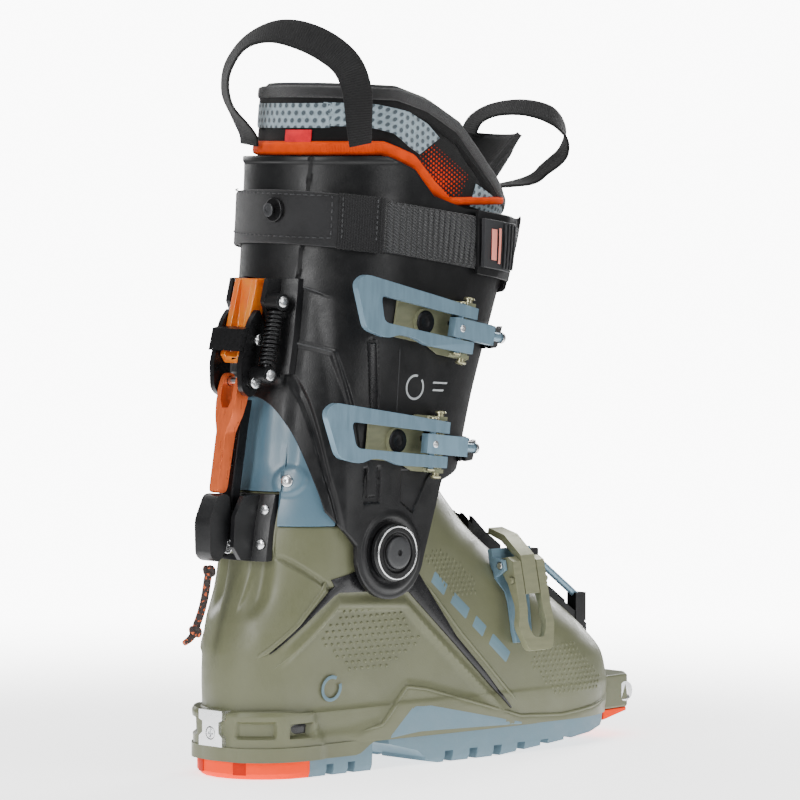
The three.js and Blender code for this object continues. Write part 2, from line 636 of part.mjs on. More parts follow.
// A fork head on a slender shank.
function walkLever() {
  const side = [[13.5, 212], [7, 212.5], [4, 206], [-1.5, 180], [-7, 150], [0.2, 150], [5.4, 178],
    [11.5, 200]];
  const half = [[7.5, 214], [7.5, 197], [6.4, 190], [3.7, 182], [3.2, 150]];
  const throat = [[-4.4, 214], [-4.4, 199], [-2.4, 194.5], [2.4, 194.5], [4.4, 199], [4.4, 214]];
  const front = [...half, ...half.map(([y, z]) => [-y, z]).reverse(), ...throat];
  return cut(sidePlate(rounded(side, 3), -8, 8).intersect(rearPlate(front, -30, 30)), pinHole);
}
add("walk_lever", walkLever(), SALMON);

const handleSide = [[-8, 149.6], [-0.5, 149.6], [1, 138], [-3, 120], [-8, 113.5], [-14, 117], [-14.5, 136]];
add("walk_handle", sidePlate(rounded(handleSide, 3), -6, 6), BLACK);

function lockBar() {
  const body = sidePlate([[18, 198], [12, 198], [9.5, 187], [3.2, 150], [3.5, 140], [8, 141], [9.5, 152],
    [15, 184]], -3.8, 3.8);
  const slots = [[164, 172], [178, 188]].map(([z0, z1]) => block([-10, -1.6, z0], [30, 1.6, z1]));
  return cut(body, ...slots);
}
add("walk_lock_bar", lockBar(), BLACK);

// The pull cord hangs from the handle between two knots; a short tail is left below the last one.
const CORD_RADIUS = 2.1;
const KNOT_RADIUS = 4;
const CORD = [[-10.8, 0, 104], [-12, 0, 98], [-14, 0, 91], [-16.5, 0, 85], [-18.5, 0, 81]];
const TAIL = [[-20, 0, 77.5], [-23, 0, 74.5], [-27, 0, 72.5]];
const KNOT_TOP = [-9.6, 0, 109.2];
const KNOT_END = [-19.4, 0, 78];
const knot = (at) => solidOf(new THREE.SphereGeometry(KNOT_RADIUS, 12, 8).translate(...at));
const cordRun = (points, count) =>
  swept(new THREE.CatmullRomCurve3(points.map((p) => new THREE.Vector3(...p))), ringSection(CORD_RADIUS,
    8), count);
const pullCord = join(knot(KNOT_TOP), cordRun([KNOT_TOP, ...CORD, KNOT_END], 7), knot(KNOT_END),
  cordRun([KNOT_END, ...TAIL], 3));
add("pull_cord", pullCord, finish(0x2a2420, 0.9));

// ---------- cuff buckles ----------

// In a buckle's own frame the lever's hinge is on the Z axis, the lever points to -X and the
// cuff's face is at y = STAND.
const STAND = 5.6;
const LEVER_PIVOTS = {
  upper: { x: 122, z: 233, tilt: 11, stand: 51.9, reach: 50 },
  lower: { x: 104, z: 173, tilt: 6.5, stand: 49.8, reach: 40 },
};
const BAIL_PIN = { x: -9, y: -4.8 };

function leverShape() {
  const face = sidePlate(rounded([[6, 12], [-30, 14], [-84, 16.5], [-90, 11], [-78, -12], [-62, -14],
    [-54, -10.5], [-42, -10.5], [-34, -13], [6, -12]], 4), -7.4, 4.5);
  const eye = sidePlate(rounded([[10, 6], [-71, 7.5], [-66, -6], [10, -6]], 3.5), -20, 20);
  const plan = floorPlate([[3.4, 1.6], [1.5, 3.6], [-2, 3.6], [-7, -1], [-16, -3.6], [-92, -3.2],
    [-92, -7.2], [1, -7.2], [3.4, -4]], -30, 30);
  const pinHoles = [rod("z", [0, 0, -30], PIN_RADIUS - 0.5 + GAP, 60, 12),
    rod("z", [BAIL_PIN.x, BAIL_PIN.y, -30], 1.7 + GAP, 60, 12)];
  return cut(face.intersect(plan), eye, ...pinHoles);
}

function basePlate() {
  const sole = sidePlate([[8, 15], [-14, 15], [-24, 11], [-48, 11], [-48, -11], [-24, -11],
    [-14, -15], [8, -15]], 4, 5.2);
  const ears = [-15, 13].map((z) => floorPlate([[6, 5.3], [3, -2.6], [-3, -2.6], [-6, 5.3]], z, z + 2));
  const rivet = rod("y", [-28, 2, 0], 7, 3, 16);
  return cut(join(sole, rivet, ...ears), rod("z", [0, 0, -30], PIN_RADIUS - 0.5 + GAP, 60, 12));
}

function adjuster() {
  const body = block([-15, -7.6, -5.2], [15, -2.7, 5.2]);
  const screw = rod("x", [14, -5, 0], 2.4, 8, 12);
  const trunnions = rod("z", [BAIL_PIN.x, BAIL_PIN.y, -13.5], 1.7, 27, 12);
  return join(body, screw, trunnions);
}

for (const [name, { x, z, tilt, stand, reach }] of Object.entries(LEVER_PIVOTS)) {
  const at = (solid) => moved(solid, [x, -stand - STAND, z], [0, THREE.MathUtils.degToRad(tilt), 0]);
  add(`${name}_buckle_base`, at(basePlate()), OLIVE);
  add(`${name}_lever`, at(leverShape()), BLUE);
  add(`${name}_lever_pin`, at(rod("z", [0, 0, -17], PIN_RADIUS - 0.5, 34, 12)), finish(0xb9b58d, 0.4, 0.7));
  add(`${name}_adjuster`, at(adjuster()), BLUE);

  // The hook reaches round the front of the cuff to a rack of teeth.
  const band = (x0, x1, half) => block([x0, -FAR, z - 5 - half], [x1, 30, z - 5 + half]);
  const heights = CUFF_HEIGHTS.filter((h) => h > z - 50 && h < z + 40);
  const hookSkin = skin(CUFF_LEVELS, 8.6, 5.4, heights).intersect(band(x + 26, x + reach, 5.5));
  const front = block([0, -FAR, 0], [400, -6, 400]);
  const rackSkin = skin(CUFF_LEVELS, 2.6, GAP, heights).intersect(band(x + 30, x + 58, 6)).intersect(front);
  const teeth = [0, 1, 2].map((i) => skin(CUFF_LEVELS, 4.6, 2, heights)
    .intersect(band(x + 33 + 8 * i, x + 35.5 + 8 * i, 5)));
  add(`${name}_hook`, hookSkin.intersect(front), BLACK);
  add(`${name}_rack`, join(rackSkin, ...teeth.map((t) => t.intersect(front))), BLACK);
}

// ---------- instep and toe buckles ----------

// The instep lever hangs on the outer side of the foot; its hinge lies along X.
const INSTEP = { x: 178, y: -43, z: 104, lean: -12 };
const INSTEP_BAIL_PIN = { y: -5, z: -9 };
const onInstep = (solid) => moved(solid, [INSTEP.x, INSTEP.y, INSTEP.z],
  [THREE.MathUtils.degToRad(INSTEP.lean), 0, 0]);
const shellSeat = loft(SHELL_LEVELS, GAP, SHELL_HEIGHTS);
const hingeHole = rod("x", [-30, 0, 0], 2 + GAP, 60, 12);
const trunnionHole = rod("x", [-30, INSTEP_BAIL_PIN.y, INSTEP_BAIL_PIN.z], 1.7 + GAP, 60, 12);

function instepLever() {
  const face = sidePlate(rounded([[-12, 9], [-12, -26], [-15, -34], [-9, -48], [9, -48], [13, -34],
    [12, -24], [12, 9]], 3), -7.5, 3);
  const eye = sidePlate(rounded([[-6, 12], [-6, -26], [-7.5, -33], [-4, -41], [4, -41], [7, -33],
    [6, -26], [6, 12]], 2.5), -20, 20);
  const side = rearPlate([[-7.5, 1], [-4, 4], [1, 4], [3, 2], [2.4, -3], [-1, -10], [-3.6, -22],
    [-3.6, -50], [-7.5, -50]], -30, 30);
  return cut(face.intersect(side), eye, hingeHole, trunnionHole);
}
add("instep_lever", onInstep(instepLever()), OLIVE);
add("instep_lever_pin", onInstep(rod("x", [-15.5, 0, 0], 2, 31, 12)), STEEL);

function instepBase() {
  const foot = sidePlate([[-15, 10], [15, 10], [15, -6], [9, -14], [6, -42], [-6, -42], [-9, -14],
    [-15, -6]], 4.4, 7.5);
  const ears = [-15, 12.6].map((x) => rearPlate([[6, 6], [-3, 2.5], [-3, -3], [6, -6]], x, x + 2.4));
  return cut(onInstep(cut(join(foot, ...ears), hingeHole)), shellSeat);
}
add("instep_base", instepBase(), BLUE);

function instepBail() {
  const link = rearPlate([[-7.4, -17], [-7.4, 4], [3, 17], [14, 22.5], [15.5, 19.5], [6, 14], [-3.6, 3],
    [-3.6, -17]], -5.3, 5.3);
  const trunnions = rod("x", [-14, INSTEP_BAIL_PIN.y, INSTEP_BAIL_PIN.z], 1.7, 28, 12);
  return join(link, trunnions);
}
add("instep_bail", onInstep(instepBail()), OLIVE);

// Racks lie on the top of the foot and follow it.
function topRack(x0, x1, [y0, y1], teeth, toothX) {
  const lanes = (from, to, a, b) => block([from, a, 40], [to, b, 170]);
  const bed = skin(SHELL_LEVELS, 6, GAP, SHELL_HEIGHTS.slice(4)).intersect(lanes(x0, x1, y0, y1));
  const ribs = teeth.map((y) => skin(SHELL_LEVELS, 11, 3,
    SHELL_HEIGHTS.slice(4)).intersect(lanes(...toothX, y, y + 2.6)));
  return join(bed, ...ribs);
}
add("instep_rack", topRack(166, 198, [-16, 14], [-13, -6, 1], [172, 194]), BLACK);
const [WIRE_FROM, WIRE_TO] = [[214, -15, 107], [252, -15, 80]];
const wire = between(WIRE_FROM, WIRE_TO, 2);
function toeRack() {
  const posts = [[210, 92, 218, 109], [248, 66, 256, 82]].map(([x0, z0, x1, z1]) => block([x0, -18.5,
    z0], [x1, -11.5, z1]));
  return cut(join(topRack(208, 257, [-18, 12], [-8, -1], [214, 250]), ...posts), shellSeat,
    between(WIRE_FROM, WIRE_TO, 2 + GAP));
}
add("toe_rack", toeRack(), BLACK);
add("toe_wire", wire, BLUE);

export default group;
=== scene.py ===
"""Alpine touring boot: the looks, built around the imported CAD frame.

Lengths are millimetres in the CAD source's own axes (X = 0 on the heel insert's face, +X to the toe,
+Y to the inner side, +Z up) and become metres in the frame where a mesh is made.
"""

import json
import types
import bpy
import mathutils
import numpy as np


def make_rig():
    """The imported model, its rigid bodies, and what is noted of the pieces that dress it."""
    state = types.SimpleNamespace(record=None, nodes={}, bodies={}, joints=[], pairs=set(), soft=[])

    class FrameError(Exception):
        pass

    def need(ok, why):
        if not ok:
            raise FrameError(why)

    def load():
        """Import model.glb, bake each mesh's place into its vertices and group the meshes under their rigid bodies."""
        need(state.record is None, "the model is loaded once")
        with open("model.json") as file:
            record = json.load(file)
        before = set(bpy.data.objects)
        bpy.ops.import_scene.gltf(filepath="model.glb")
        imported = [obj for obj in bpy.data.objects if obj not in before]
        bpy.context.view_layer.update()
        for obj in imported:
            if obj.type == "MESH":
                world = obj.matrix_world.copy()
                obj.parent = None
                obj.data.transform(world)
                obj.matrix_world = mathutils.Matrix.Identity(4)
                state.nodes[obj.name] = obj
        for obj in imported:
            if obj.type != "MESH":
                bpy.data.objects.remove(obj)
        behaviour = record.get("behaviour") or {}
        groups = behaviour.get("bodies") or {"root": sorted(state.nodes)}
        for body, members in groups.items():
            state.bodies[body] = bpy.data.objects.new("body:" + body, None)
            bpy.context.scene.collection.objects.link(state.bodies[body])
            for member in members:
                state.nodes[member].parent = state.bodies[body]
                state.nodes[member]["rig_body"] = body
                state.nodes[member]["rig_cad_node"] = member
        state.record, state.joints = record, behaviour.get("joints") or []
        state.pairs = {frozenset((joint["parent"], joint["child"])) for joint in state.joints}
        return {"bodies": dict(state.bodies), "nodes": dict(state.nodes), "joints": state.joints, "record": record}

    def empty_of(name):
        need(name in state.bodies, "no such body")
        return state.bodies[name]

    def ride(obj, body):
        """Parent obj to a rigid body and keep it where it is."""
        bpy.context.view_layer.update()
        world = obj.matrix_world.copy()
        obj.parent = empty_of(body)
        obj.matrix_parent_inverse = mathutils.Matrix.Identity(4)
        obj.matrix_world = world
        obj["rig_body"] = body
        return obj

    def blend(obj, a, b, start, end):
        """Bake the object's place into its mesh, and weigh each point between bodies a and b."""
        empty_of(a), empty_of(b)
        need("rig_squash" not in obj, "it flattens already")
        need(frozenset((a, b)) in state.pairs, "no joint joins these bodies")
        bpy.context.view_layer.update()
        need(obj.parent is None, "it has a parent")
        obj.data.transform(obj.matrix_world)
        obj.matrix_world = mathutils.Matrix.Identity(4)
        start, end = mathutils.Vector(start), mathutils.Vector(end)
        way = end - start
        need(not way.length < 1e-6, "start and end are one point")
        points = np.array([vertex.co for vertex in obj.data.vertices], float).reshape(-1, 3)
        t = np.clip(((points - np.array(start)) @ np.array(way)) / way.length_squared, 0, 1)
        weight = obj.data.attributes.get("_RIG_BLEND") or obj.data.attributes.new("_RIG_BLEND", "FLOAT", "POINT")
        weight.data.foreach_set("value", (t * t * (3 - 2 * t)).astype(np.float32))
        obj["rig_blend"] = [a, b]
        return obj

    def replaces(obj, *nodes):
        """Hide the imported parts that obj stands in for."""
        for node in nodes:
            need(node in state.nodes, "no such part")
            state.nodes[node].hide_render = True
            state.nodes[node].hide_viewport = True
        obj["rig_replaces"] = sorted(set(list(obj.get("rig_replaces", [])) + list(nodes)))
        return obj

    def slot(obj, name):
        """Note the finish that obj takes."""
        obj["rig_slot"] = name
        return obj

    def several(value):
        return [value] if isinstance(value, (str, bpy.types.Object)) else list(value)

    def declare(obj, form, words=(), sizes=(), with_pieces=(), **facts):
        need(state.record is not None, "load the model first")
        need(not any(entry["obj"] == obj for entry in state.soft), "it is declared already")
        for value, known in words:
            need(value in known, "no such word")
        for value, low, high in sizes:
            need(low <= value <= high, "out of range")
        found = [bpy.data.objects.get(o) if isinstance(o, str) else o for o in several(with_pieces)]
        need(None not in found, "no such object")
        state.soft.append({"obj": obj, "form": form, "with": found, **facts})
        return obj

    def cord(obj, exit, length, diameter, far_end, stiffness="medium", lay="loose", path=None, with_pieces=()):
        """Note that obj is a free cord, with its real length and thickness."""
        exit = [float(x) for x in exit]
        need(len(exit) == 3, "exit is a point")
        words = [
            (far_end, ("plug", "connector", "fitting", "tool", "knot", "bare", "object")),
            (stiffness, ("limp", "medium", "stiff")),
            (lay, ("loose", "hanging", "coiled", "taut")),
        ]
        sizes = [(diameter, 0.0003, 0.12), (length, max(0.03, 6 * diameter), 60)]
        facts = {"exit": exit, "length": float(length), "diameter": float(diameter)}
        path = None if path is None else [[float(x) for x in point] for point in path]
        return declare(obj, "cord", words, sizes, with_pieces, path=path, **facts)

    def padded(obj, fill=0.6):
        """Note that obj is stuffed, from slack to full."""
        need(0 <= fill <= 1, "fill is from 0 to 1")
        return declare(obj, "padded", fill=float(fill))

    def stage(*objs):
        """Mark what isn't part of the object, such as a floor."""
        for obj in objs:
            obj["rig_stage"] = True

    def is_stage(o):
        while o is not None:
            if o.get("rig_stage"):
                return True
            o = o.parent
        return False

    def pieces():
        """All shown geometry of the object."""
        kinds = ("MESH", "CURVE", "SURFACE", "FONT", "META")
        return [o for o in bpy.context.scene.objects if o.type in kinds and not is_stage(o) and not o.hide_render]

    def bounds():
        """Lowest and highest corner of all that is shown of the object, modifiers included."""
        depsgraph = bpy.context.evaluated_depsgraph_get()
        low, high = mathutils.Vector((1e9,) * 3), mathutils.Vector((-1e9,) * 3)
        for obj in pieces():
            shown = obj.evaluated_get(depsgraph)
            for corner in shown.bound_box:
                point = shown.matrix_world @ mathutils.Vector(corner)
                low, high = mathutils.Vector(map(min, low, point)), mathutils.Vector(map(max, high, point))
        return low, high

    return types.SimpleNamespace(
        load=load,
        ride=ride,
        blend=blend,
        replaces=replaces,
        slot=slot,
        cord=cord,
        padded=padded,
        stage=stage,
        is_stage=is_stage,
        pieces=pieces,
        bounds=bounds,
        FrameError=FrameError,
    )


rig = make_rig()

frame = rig.load()

import json
import math

import bpy
import numpy as np
from mathutils import Vector

CAD_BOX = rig.bounds()

MM = 0.001
ORIGIN_X = 45  # from the heel insert's face to the frame's origin
LATERAL = -1
MEDIAL = 1

# ---------- dimensions shared with the CAD source ----------

SHELL_WALL = 4.5
CUFF_WALL = 3.2
LINER_WALL = 7
TONGUE_WALL = 5.5
TOE_BEND = 5
SHELL_BOTTOM = 16.0
CUFF_RIM = 326
PIVOT_X, PIVOT_Z = 76, 117
ARM_RADIUS = 25  # of the cuff's arms round the pivots
STRAP_THICK = 2.6
STRAP_LIFT = 0.35 + STRAP_THICK  # from the cuff to the strap's face
STRAP_RIB = 4.3
STRAP_WIDTH = 27

# Levels of a skin: height, rear x, front x, half width at rear and front, cap lengths.
SHELL_LEVELS = [
    [16, -7, 277, 34, 47, 34, 56],
    [34, -7.5, 277.5, 35, 49, 35, 56],
    [36, -3.5, 277, 34, 49, 35, 56],
    [48, -3.5, 274, 35, 49, 36, 58],
    [64, -3, 259, 36, 48, 38, 60],
    [80, 0.5, 238, 38.5, 45, 40, 62],
    [98, 8, 209, 41.5, 41, 42, 62],
    [112, 11.5, 186, 43.5, 39, 44, 58],
    [127, 13, 165, 44.2, 38, 45, 52],
    [150, 18.5, 143, 44.5, 37, 46, 48],
]
CUFF_LEVELS = [
    [88, 8, 146, 49, 48, 45, 50],
    [136, 10, 150, 49, 47.5, 45, 50],
    [160, 15, 156, 49.5, 47.5, 46, 52],
    [196, 20, 166, 50.5, 49, 48, 56],
    [216, 24, 173, 51.5, 50, 50, 58],
    [245, 28.5, 184, 52.5, 51, 52, 60],
    [283, 32, 198, 53, 52, 53, 62],
    [328, 34.5, 208, 53, 52, 54, 64],
]
LINER_LEVELS = [
    [136, 20.5, 148, 36.5, 30, 39, 46],
    [150, 25.5, 135, 35.5, 30, 39, 44],
    [165, 26, 143, 39.5, 34, 40, 46],
    [205, 31, 160, 41, 39, 42, 48],
    [222, 33, 166, 43, 42, 44, 50],
    [260, 36.5, 180, 46.5, 45, 46, 54],
    [300, 39, 193, 47.3, 46, 48, 56],
    [364, 45, 212, 47, 46, 48, 58],
]
TONGUE_LEVELS = [
    [205, 40, 151, 32, 31, 40, 42],
    [260, 44, 171, 37, 36.5, 44, 48],
    [300, 48, 184, 38, 36, 46, 52],
    [320, 60, 201, 38, 35, 46, 54],
    [340, 80, 221, 38, 33, 46, 56],
]


# ---------- camera, light and floor ----------

SENSOR = 36
LENS = 222.3
CAMERA_PLACE = (-1.7737, -1.9242, 0.3431)
CAMERA_LOOK = (-44, 3.2)
LIGHTS_AIM = (0.09, 0, 0.19)
ROOM_LIGHT = 0.26
SEEN_WHITE = 10.0  # what the camera sees past the floor, far brighter than the room lights the boot
FLOOR_GLOW = 1.9
FLOOR_FADE = (0.25, 0.9)
FLOOR_REACH = 12

def look(azimuth, elevation):
    """The unit vector that looks at that azimuth (0 along +Y, 90 along -X), down by that elevation."""
    a, e = math.radians(azimuth), math.radians(elevation)
    return Vector((-math.sin(a) * math.cos(e), math.cos(a) * math.cos(e), -math.sin(e)))


def make_camera():
    data = bpy.data.cameras.new("camera")
    data.sensor_width = SENSOR
    data.lens = LENS
    data.clip_start, data.clip_end = 0.1, 20
    camera = bpy.data.objects.new("camera", data)
    bpy.context.collection.objects.link(camera)
    camera.location = CAMERA_PLACE
    camera.rotation_mode = "QUATERNION"
    camera.rotation_quaternion = look(*CAMERA_LOOK).to_track_quat("-Z", "Y")
    bpy.context.scene.camera = camera


def area_light(name, place, size, power):
    data = bpy.data.lights.new(name, "AREA")
    data.shape = "RECTANGLE"
    data.size, data.size_y = size
    data.energy = power
    light = bpy.data.objects.new(name, data)
    bpy.context.collection.objects.link(light)
    light.location = place
    light.rotation_mode = "QUATERNION"
    aim = Vector(LIGHTS_AIM) - Vector(place)
    light.rotation_quaternion = aim.to_track_quat("-Z", "Y")


def make_world():
    """A white room to the camera, and a dim one to everything else."""
    world = bpy.data.worlds.new("studio")
    bpy.context.scene.world = world
    world.use_nodes = True
    tree = world.node_tree
    room = tree.nodes["Background"]
    seen = tree.nodes.new("ShaderNodeBackground")
    for node, strength in ((room, ROOM_LIGHT), (seen, SEEN_WHITE)):
        node.inputs[0].default_value = (1, 1, 1, 1)
        node.inputs[1].default_value = strength
    choose = tree.nodes.new("ShaderNodeMixShader")
    tree.links.new(tree.nodes.new("ShaderNodeLightPath").outputs["Is Camera Ray"], choose.inputs[0])
    tree.links.new(room.outputs[0], choose.inputs[1])
    tree.links.new(seen.outputs[0], choose.inputs[2])
    tree.links.new(choose.outputs[0], tree.nodes["World Output"].inputs[0])


def make_studio():
    make_world()
    area_light("key_from_left", (-1.7, -0.3, 0.9), (0.5, 1.3), 30)
    area_light("fill_from_right", (0.5, -1.9, 0.7), (0.7, 1.0), 12)
    area_light("top", (0.1, -0.2, 1.5), (1.0, 1.0), 16)
    area_light("rim_from_front", (1.5, 0.5, 0.8), (0.5, 1.2), 22)
    area_light("back", (0.3, 1.7, 0.8), (1.0, 1.0), 14)
    mesh = bpy.data.meshes.new("floor")
    corners = [(-1, -1), (1, -1), (1, 1), (-1, 1)]
    mesh.from_pydata([(x * FLOOR_REACH, y * FLOOR_REACH, 0) for x, y in corners], [], [(0, 1, 2, 3)])
    floor = bpy.data.objects.new("floor", mesh)
    bpy.context.collection.objects.link(floor)
    floor.data.materials.append(floor_material())
    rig.stage(floor)


# ---------- materials ----------

class Nodes:
    """A material's node tree with one Principled shader and short calls to add to it."""

    def __init__(self, name):
        self.material = bpy.data.materials.new(name)
        self.material.use_nodes = True
        self.tree = self.material.node_tree
        self.shader = self.tree.nodes["Principled BSDF"]
        self.place = None

    def add(self, kind, **settings):
        node = self.tree.nodes.new(kind)
        for key, value in settings.items():
            setattr(node, key, value)
        return node

    def link(self, source, target):
        self.tree.links.new(source, target)

    def put(self, socket, value):
        if isinstance(value, bpy.types.NodeSocket):
            self.link(value, socket)
        else:
            socket.default_value = value

    def where(self, uv=False):
        """Texture coordinates: millimetres along the surface with uv, else the object's own."""
        if uv:
            return self.add("ShaderNodeUVMap", uv_map="mm").outputs["UV"]
        if self.place is None:
            self.place = self.add("ShaderNodeTexCoord").outputs["Object"]
        return self.place

    def math(self, operation, a, b=0.0, c=0.0, clamp=False):
        node = self.add("ShaderNodeMath", operation=operation, use_clamp=clamp)
        for socket, value in zip(node.inputs, (a, b, c)):
            self.put(socket, value)
        return node.outputs[0]

    def split(self, vector):
        node = self.add("ShaderNodeSeparateXYZ")
        self.link(vector, node.inputs[0])
        return node.outputs

    def noise(self, scale, detail=3, roughness=0.5, stretch=None, uv=False):
        node = self.add("ShaderNodeTexNoise")
        place = self.where(uv)
        if stretch:
            mapping = self.add("ShaderNodeMapping")
            self.link(place, mapping.inputs["Vector"])
            mapping.inputs["Scale"].default_value = stretch
            place = mapping.outputs[0]
        self.link(place, node.inputs["Vector"])
        node.inputs["Scale"].default_value = scale
        node.inputs["Detail"].default_value = detail
        node.inputs["Roughness"].default_value = roughness
        return node.outputs["Fac"]

    def ramp(self, value, low, high, to_low=0.0, to_high=1.0, smooth=True):
        node = self.add("ShaderNodeMapRange", interpolation_type="SMOOTHSTEP" if smooth else "LINEAR")
        self.put(node.inputs["Value"], value)
        limits = (low, high, to_low, to_high)
        for key, number in zip(("From Min", "From Max", "To Min", "To Max"), limits):
            node.inputs[key].default_value = number
        return node.outputs["Result"]

    def mix(self, share, low, high):
        node = self.add("ShaderNodeMix", data_type="RGBA")
        self.put(node.inputs[0], share)
        self.put(node.inputs[6], (*low, 1) if isinstance(low, tuple) else low)
        self.put(node.inputs[7], (*high, 1) if isinstance(high, tuple) else high)
        return node.outputs[2]

    def colour(self, value):
        self.put(self.shader.inputs["Base Color"], (*value, 1) if isinstance(value, tuple) else value)

    def rough(self, value):
        self.put(self.shader.inputs["Roughness"], value)

    def bump(self, *layers):
        """Each layer is a height and its depth in millimetres."""
        normal = None
        for height, depth in layers:
            node = self.add("ShaderNodeBump")
            node.inputs["Strength"].default_value = 1
            node.inputs["Distance"].default_value = depth * MM
            self.link(height, node.inputs["Height"])
            if normal:
                self.link(normal, node.inputs["Normal"])
            normal = node.outputs["Normal"]
        self.link(normal, self.shader.inputs["Normal"])

    def pointy_corners(self, low=0.53, high=0.62):
        """How much a corner sticks out, from the shape itself."""
        pointiness = self.add("ShaderNodeNewGeometry").outputs["Pointiness"]
        return self.ramp(pointiness, low, high)


def shade(colour, by):
    return tuple(min(1.0, c * by) for c in colour)


def plastic(name, colour, roughness, grain=0.05, mottle=0.10, corner_paling=0.25, coat=0.0):
    """Moulded plastic: faint cloudy colour, fine grain in the gloss and surface, paler corners."""
    n = Nodes(name)
    cloud = n.noise(28, 4)
    tint = n.mix(n.ramp(cloud, 0.3, 0.7), shade(colour, 1 - mottle), shade(colour, 1 + mottle))
    # Corners that stick out are given a paler colour of the same hue.
    n.colour(n.mix(n.math("MULTIPLY", n.pointy_corners(), corner_paling), tint, shade(colour, 1.9)))
    fine = n.noise(1500, 2)
    smear = n.noise(90, 5, 0.6)
    n.rough(n.ramp(smear, 0.3, 0.7, roughness - 0.07, roughness + 0.08))
    n.bump((fine, grain), (n.noise(240, 3), grain * 0.7))
    n.shader.inputs["Specular IOR Level"].default_value = 0.38
    n.shader.inputs["Coat Weight"].default_value = coat
    n.shader.inputs["Coat Roughness"].default_value = 0.25
    return n.material


def metal(name, colour, roughness, metallic=1.0, brushed=(1, 1, 1), corner_paling=0.3):
    """Cast or brushed metal: streaks in the gloss and bright corners."""
    n = Nodes(name)
    streak = n.noise(520, 3, 0.5, stretch=brushed)
    tint = n.mix(n.ramp(streak, 0.3, 0.7), shade(colour, 0.94), shade(colour, 1.05))
    # Corners that stick out are given a brighter colour of the same hue.
    n.colour(n.mix(n.math("MULTIPLY", n.pointy_corners(), corner_paling), tint, shade(colour, 1.8)))
    n.rough(n.ramp(streak, 0.25, 0.75, roughness - 0.04, roughness + 0.08))
    n.shader.inputs["Metallic"].default_value = metallic
    n.bump((n.noise(420, 3), 0.03), (streak, 0.008))
    return n.material


def rubber(name, colour, roughness=0.62, shine=0.5):
    n = Nodes(name)
    n.shader.inputs["Specular IOR Level"].default_value = shine
    scuff = n.noise(120, 6, 0.65)
    dust = n.ramp(scuff, 0.45, 0.8)
    n.colour(n.mix(n.math("MULTIPLY", dust, 0.35), colour, shade(colour, 1.25)))
    n.rough(n.ramp(scuff, 0.3, 0.7, roughness - 0.08, roughness + 0.12))
    n.bump((n.noise(900, 3), 0.06), (scuff, 0.12))
    return n.material


def knit(name, colour, pitch=0.9, depth=0.12, roughness=0.88, fuzz=0.25):
    """Tight stretch cloth: a fine diagonal weave seen from its surface coordinates."""
    n = Nodes(name)
    u, v, _ = n.split(n.where(uv=True))
    turn = 2 * math.pi / pitch
    warp = n.math("SINE", n.math("MULTIPLY", n.math("ADD", u, v), turn))
    weft = n.math("SINE", n.math("MULTIPLY", n.math("SUBTRACT", u, v), turn))
    weave = n.math("MULTIPLY", warp, weft)
    cloud = n.noise(60, 5, 0.6)
    n.colour(n.mix(n.ramp(cloud, 0.3, 0.7), shade(colour, 0.75), shade(colour, 1.35)))
    n.rough(n.ramp(cloud, 0.2, 0.8, roughness - 0.1, roughness + 0.08))
    n.shader.inputs["Sheen Weight"].default_value = fuzz
    n.shader.inputs["Sheen Roughness"].default_value = 0.5
    n.shader.inputs["Specular IOR Level"].default_value = 0.2
    n.bump((weave, depth), (n.noise(55, 3), 0.35))
    return n.material


def webbing_cloth(name, colour, rib=1.9, thread=0.75, depth=0.22, roughness=0.8):
    """Woven strap: ribs across the strap, split into threads along it; the low parts between them are painted darker
    as painted shade.
    """
    n = Nodes(name)
    u, v, _ = n.split(n.where(uv=True))
    ribs = n.math("SINE", n.math("MULTIPLY", u, 2 * math.pi / rib))
    row = n.math("FLOOR", n.math("DIVIDE", u, rib))
    shift = n.math("MULTIPLY", row, 0.5 * thread)
    threads = n.math("SINE", n.math("MULTIPLY", n.math("ADD", v, shift), 2 * math.pi / thread))
    height = n.math("ADD", n.math("MULTIPLY", ribs, 0.6), n.math("MULTIPLY", threads, 0.4))
    light = n.ramp(height, -0.4, 0.9)
    cloud = n.noise(45, 4)
    tint = n.mix(n.ramp(cloud, 0.3, 0.7), shade(colour, 0.8), shade(colour, 1.2))
    # Painted shade: the colour darkens where the rib and thread pattern is low.
    n.colour(n.mix(light, shade(colour, 0.45), tint))
    n.rough(n.ramp(cloud, 0.2, 0.8, roughness - 0.08, roughness + 0.08))
    n.shader.inputs["Sheen Weight"].default_value = 0.08
    n.shader.inputs["Specular IOR Level"].default_value = 0.3
    n.bump((height, depth))
    return n.material


def ribbed_webbing(name, colour, rib):
    """Heavy strap webbing: thick cross ribs, each one wrapped in slanting threads; the colour is painted darker
    between the ribs and in the thread grooves as painted shade.
    """
    n = Nodes(name)
    u, v, _ = n.split(n.where(uv=True))
    swell = n.ramp(n.math("PINGPONG", u, rib / 2), 0, rib * 0.28)
    slant = n.math("ADD", n.math("MULTIPLY", v, 2 * math.pi / 1.7), n.math("MULTIPLY", u, 2 * math.pi / rib))
    thread = n.math("SINE", slant)
    light = n.math("MULTIPLY", swell, n.ramp(thread, -0.8, 0.6, 0.25, 1))
    # Painted shade: the colour falls to a dark copy between the ribs and along the thread grooves.
    n.colour(n.mix(light, shade(colour, 0.12), colour))
    n.rough(n.ramp(n.noise(60, 4), 0.2, 0.8, 0.5, 0.7))
    n.shader.inputs["Sheen Weight"].default_value = 0.15
    n.bump((swell, 0.5), (thread, 0.35))
    return n.material


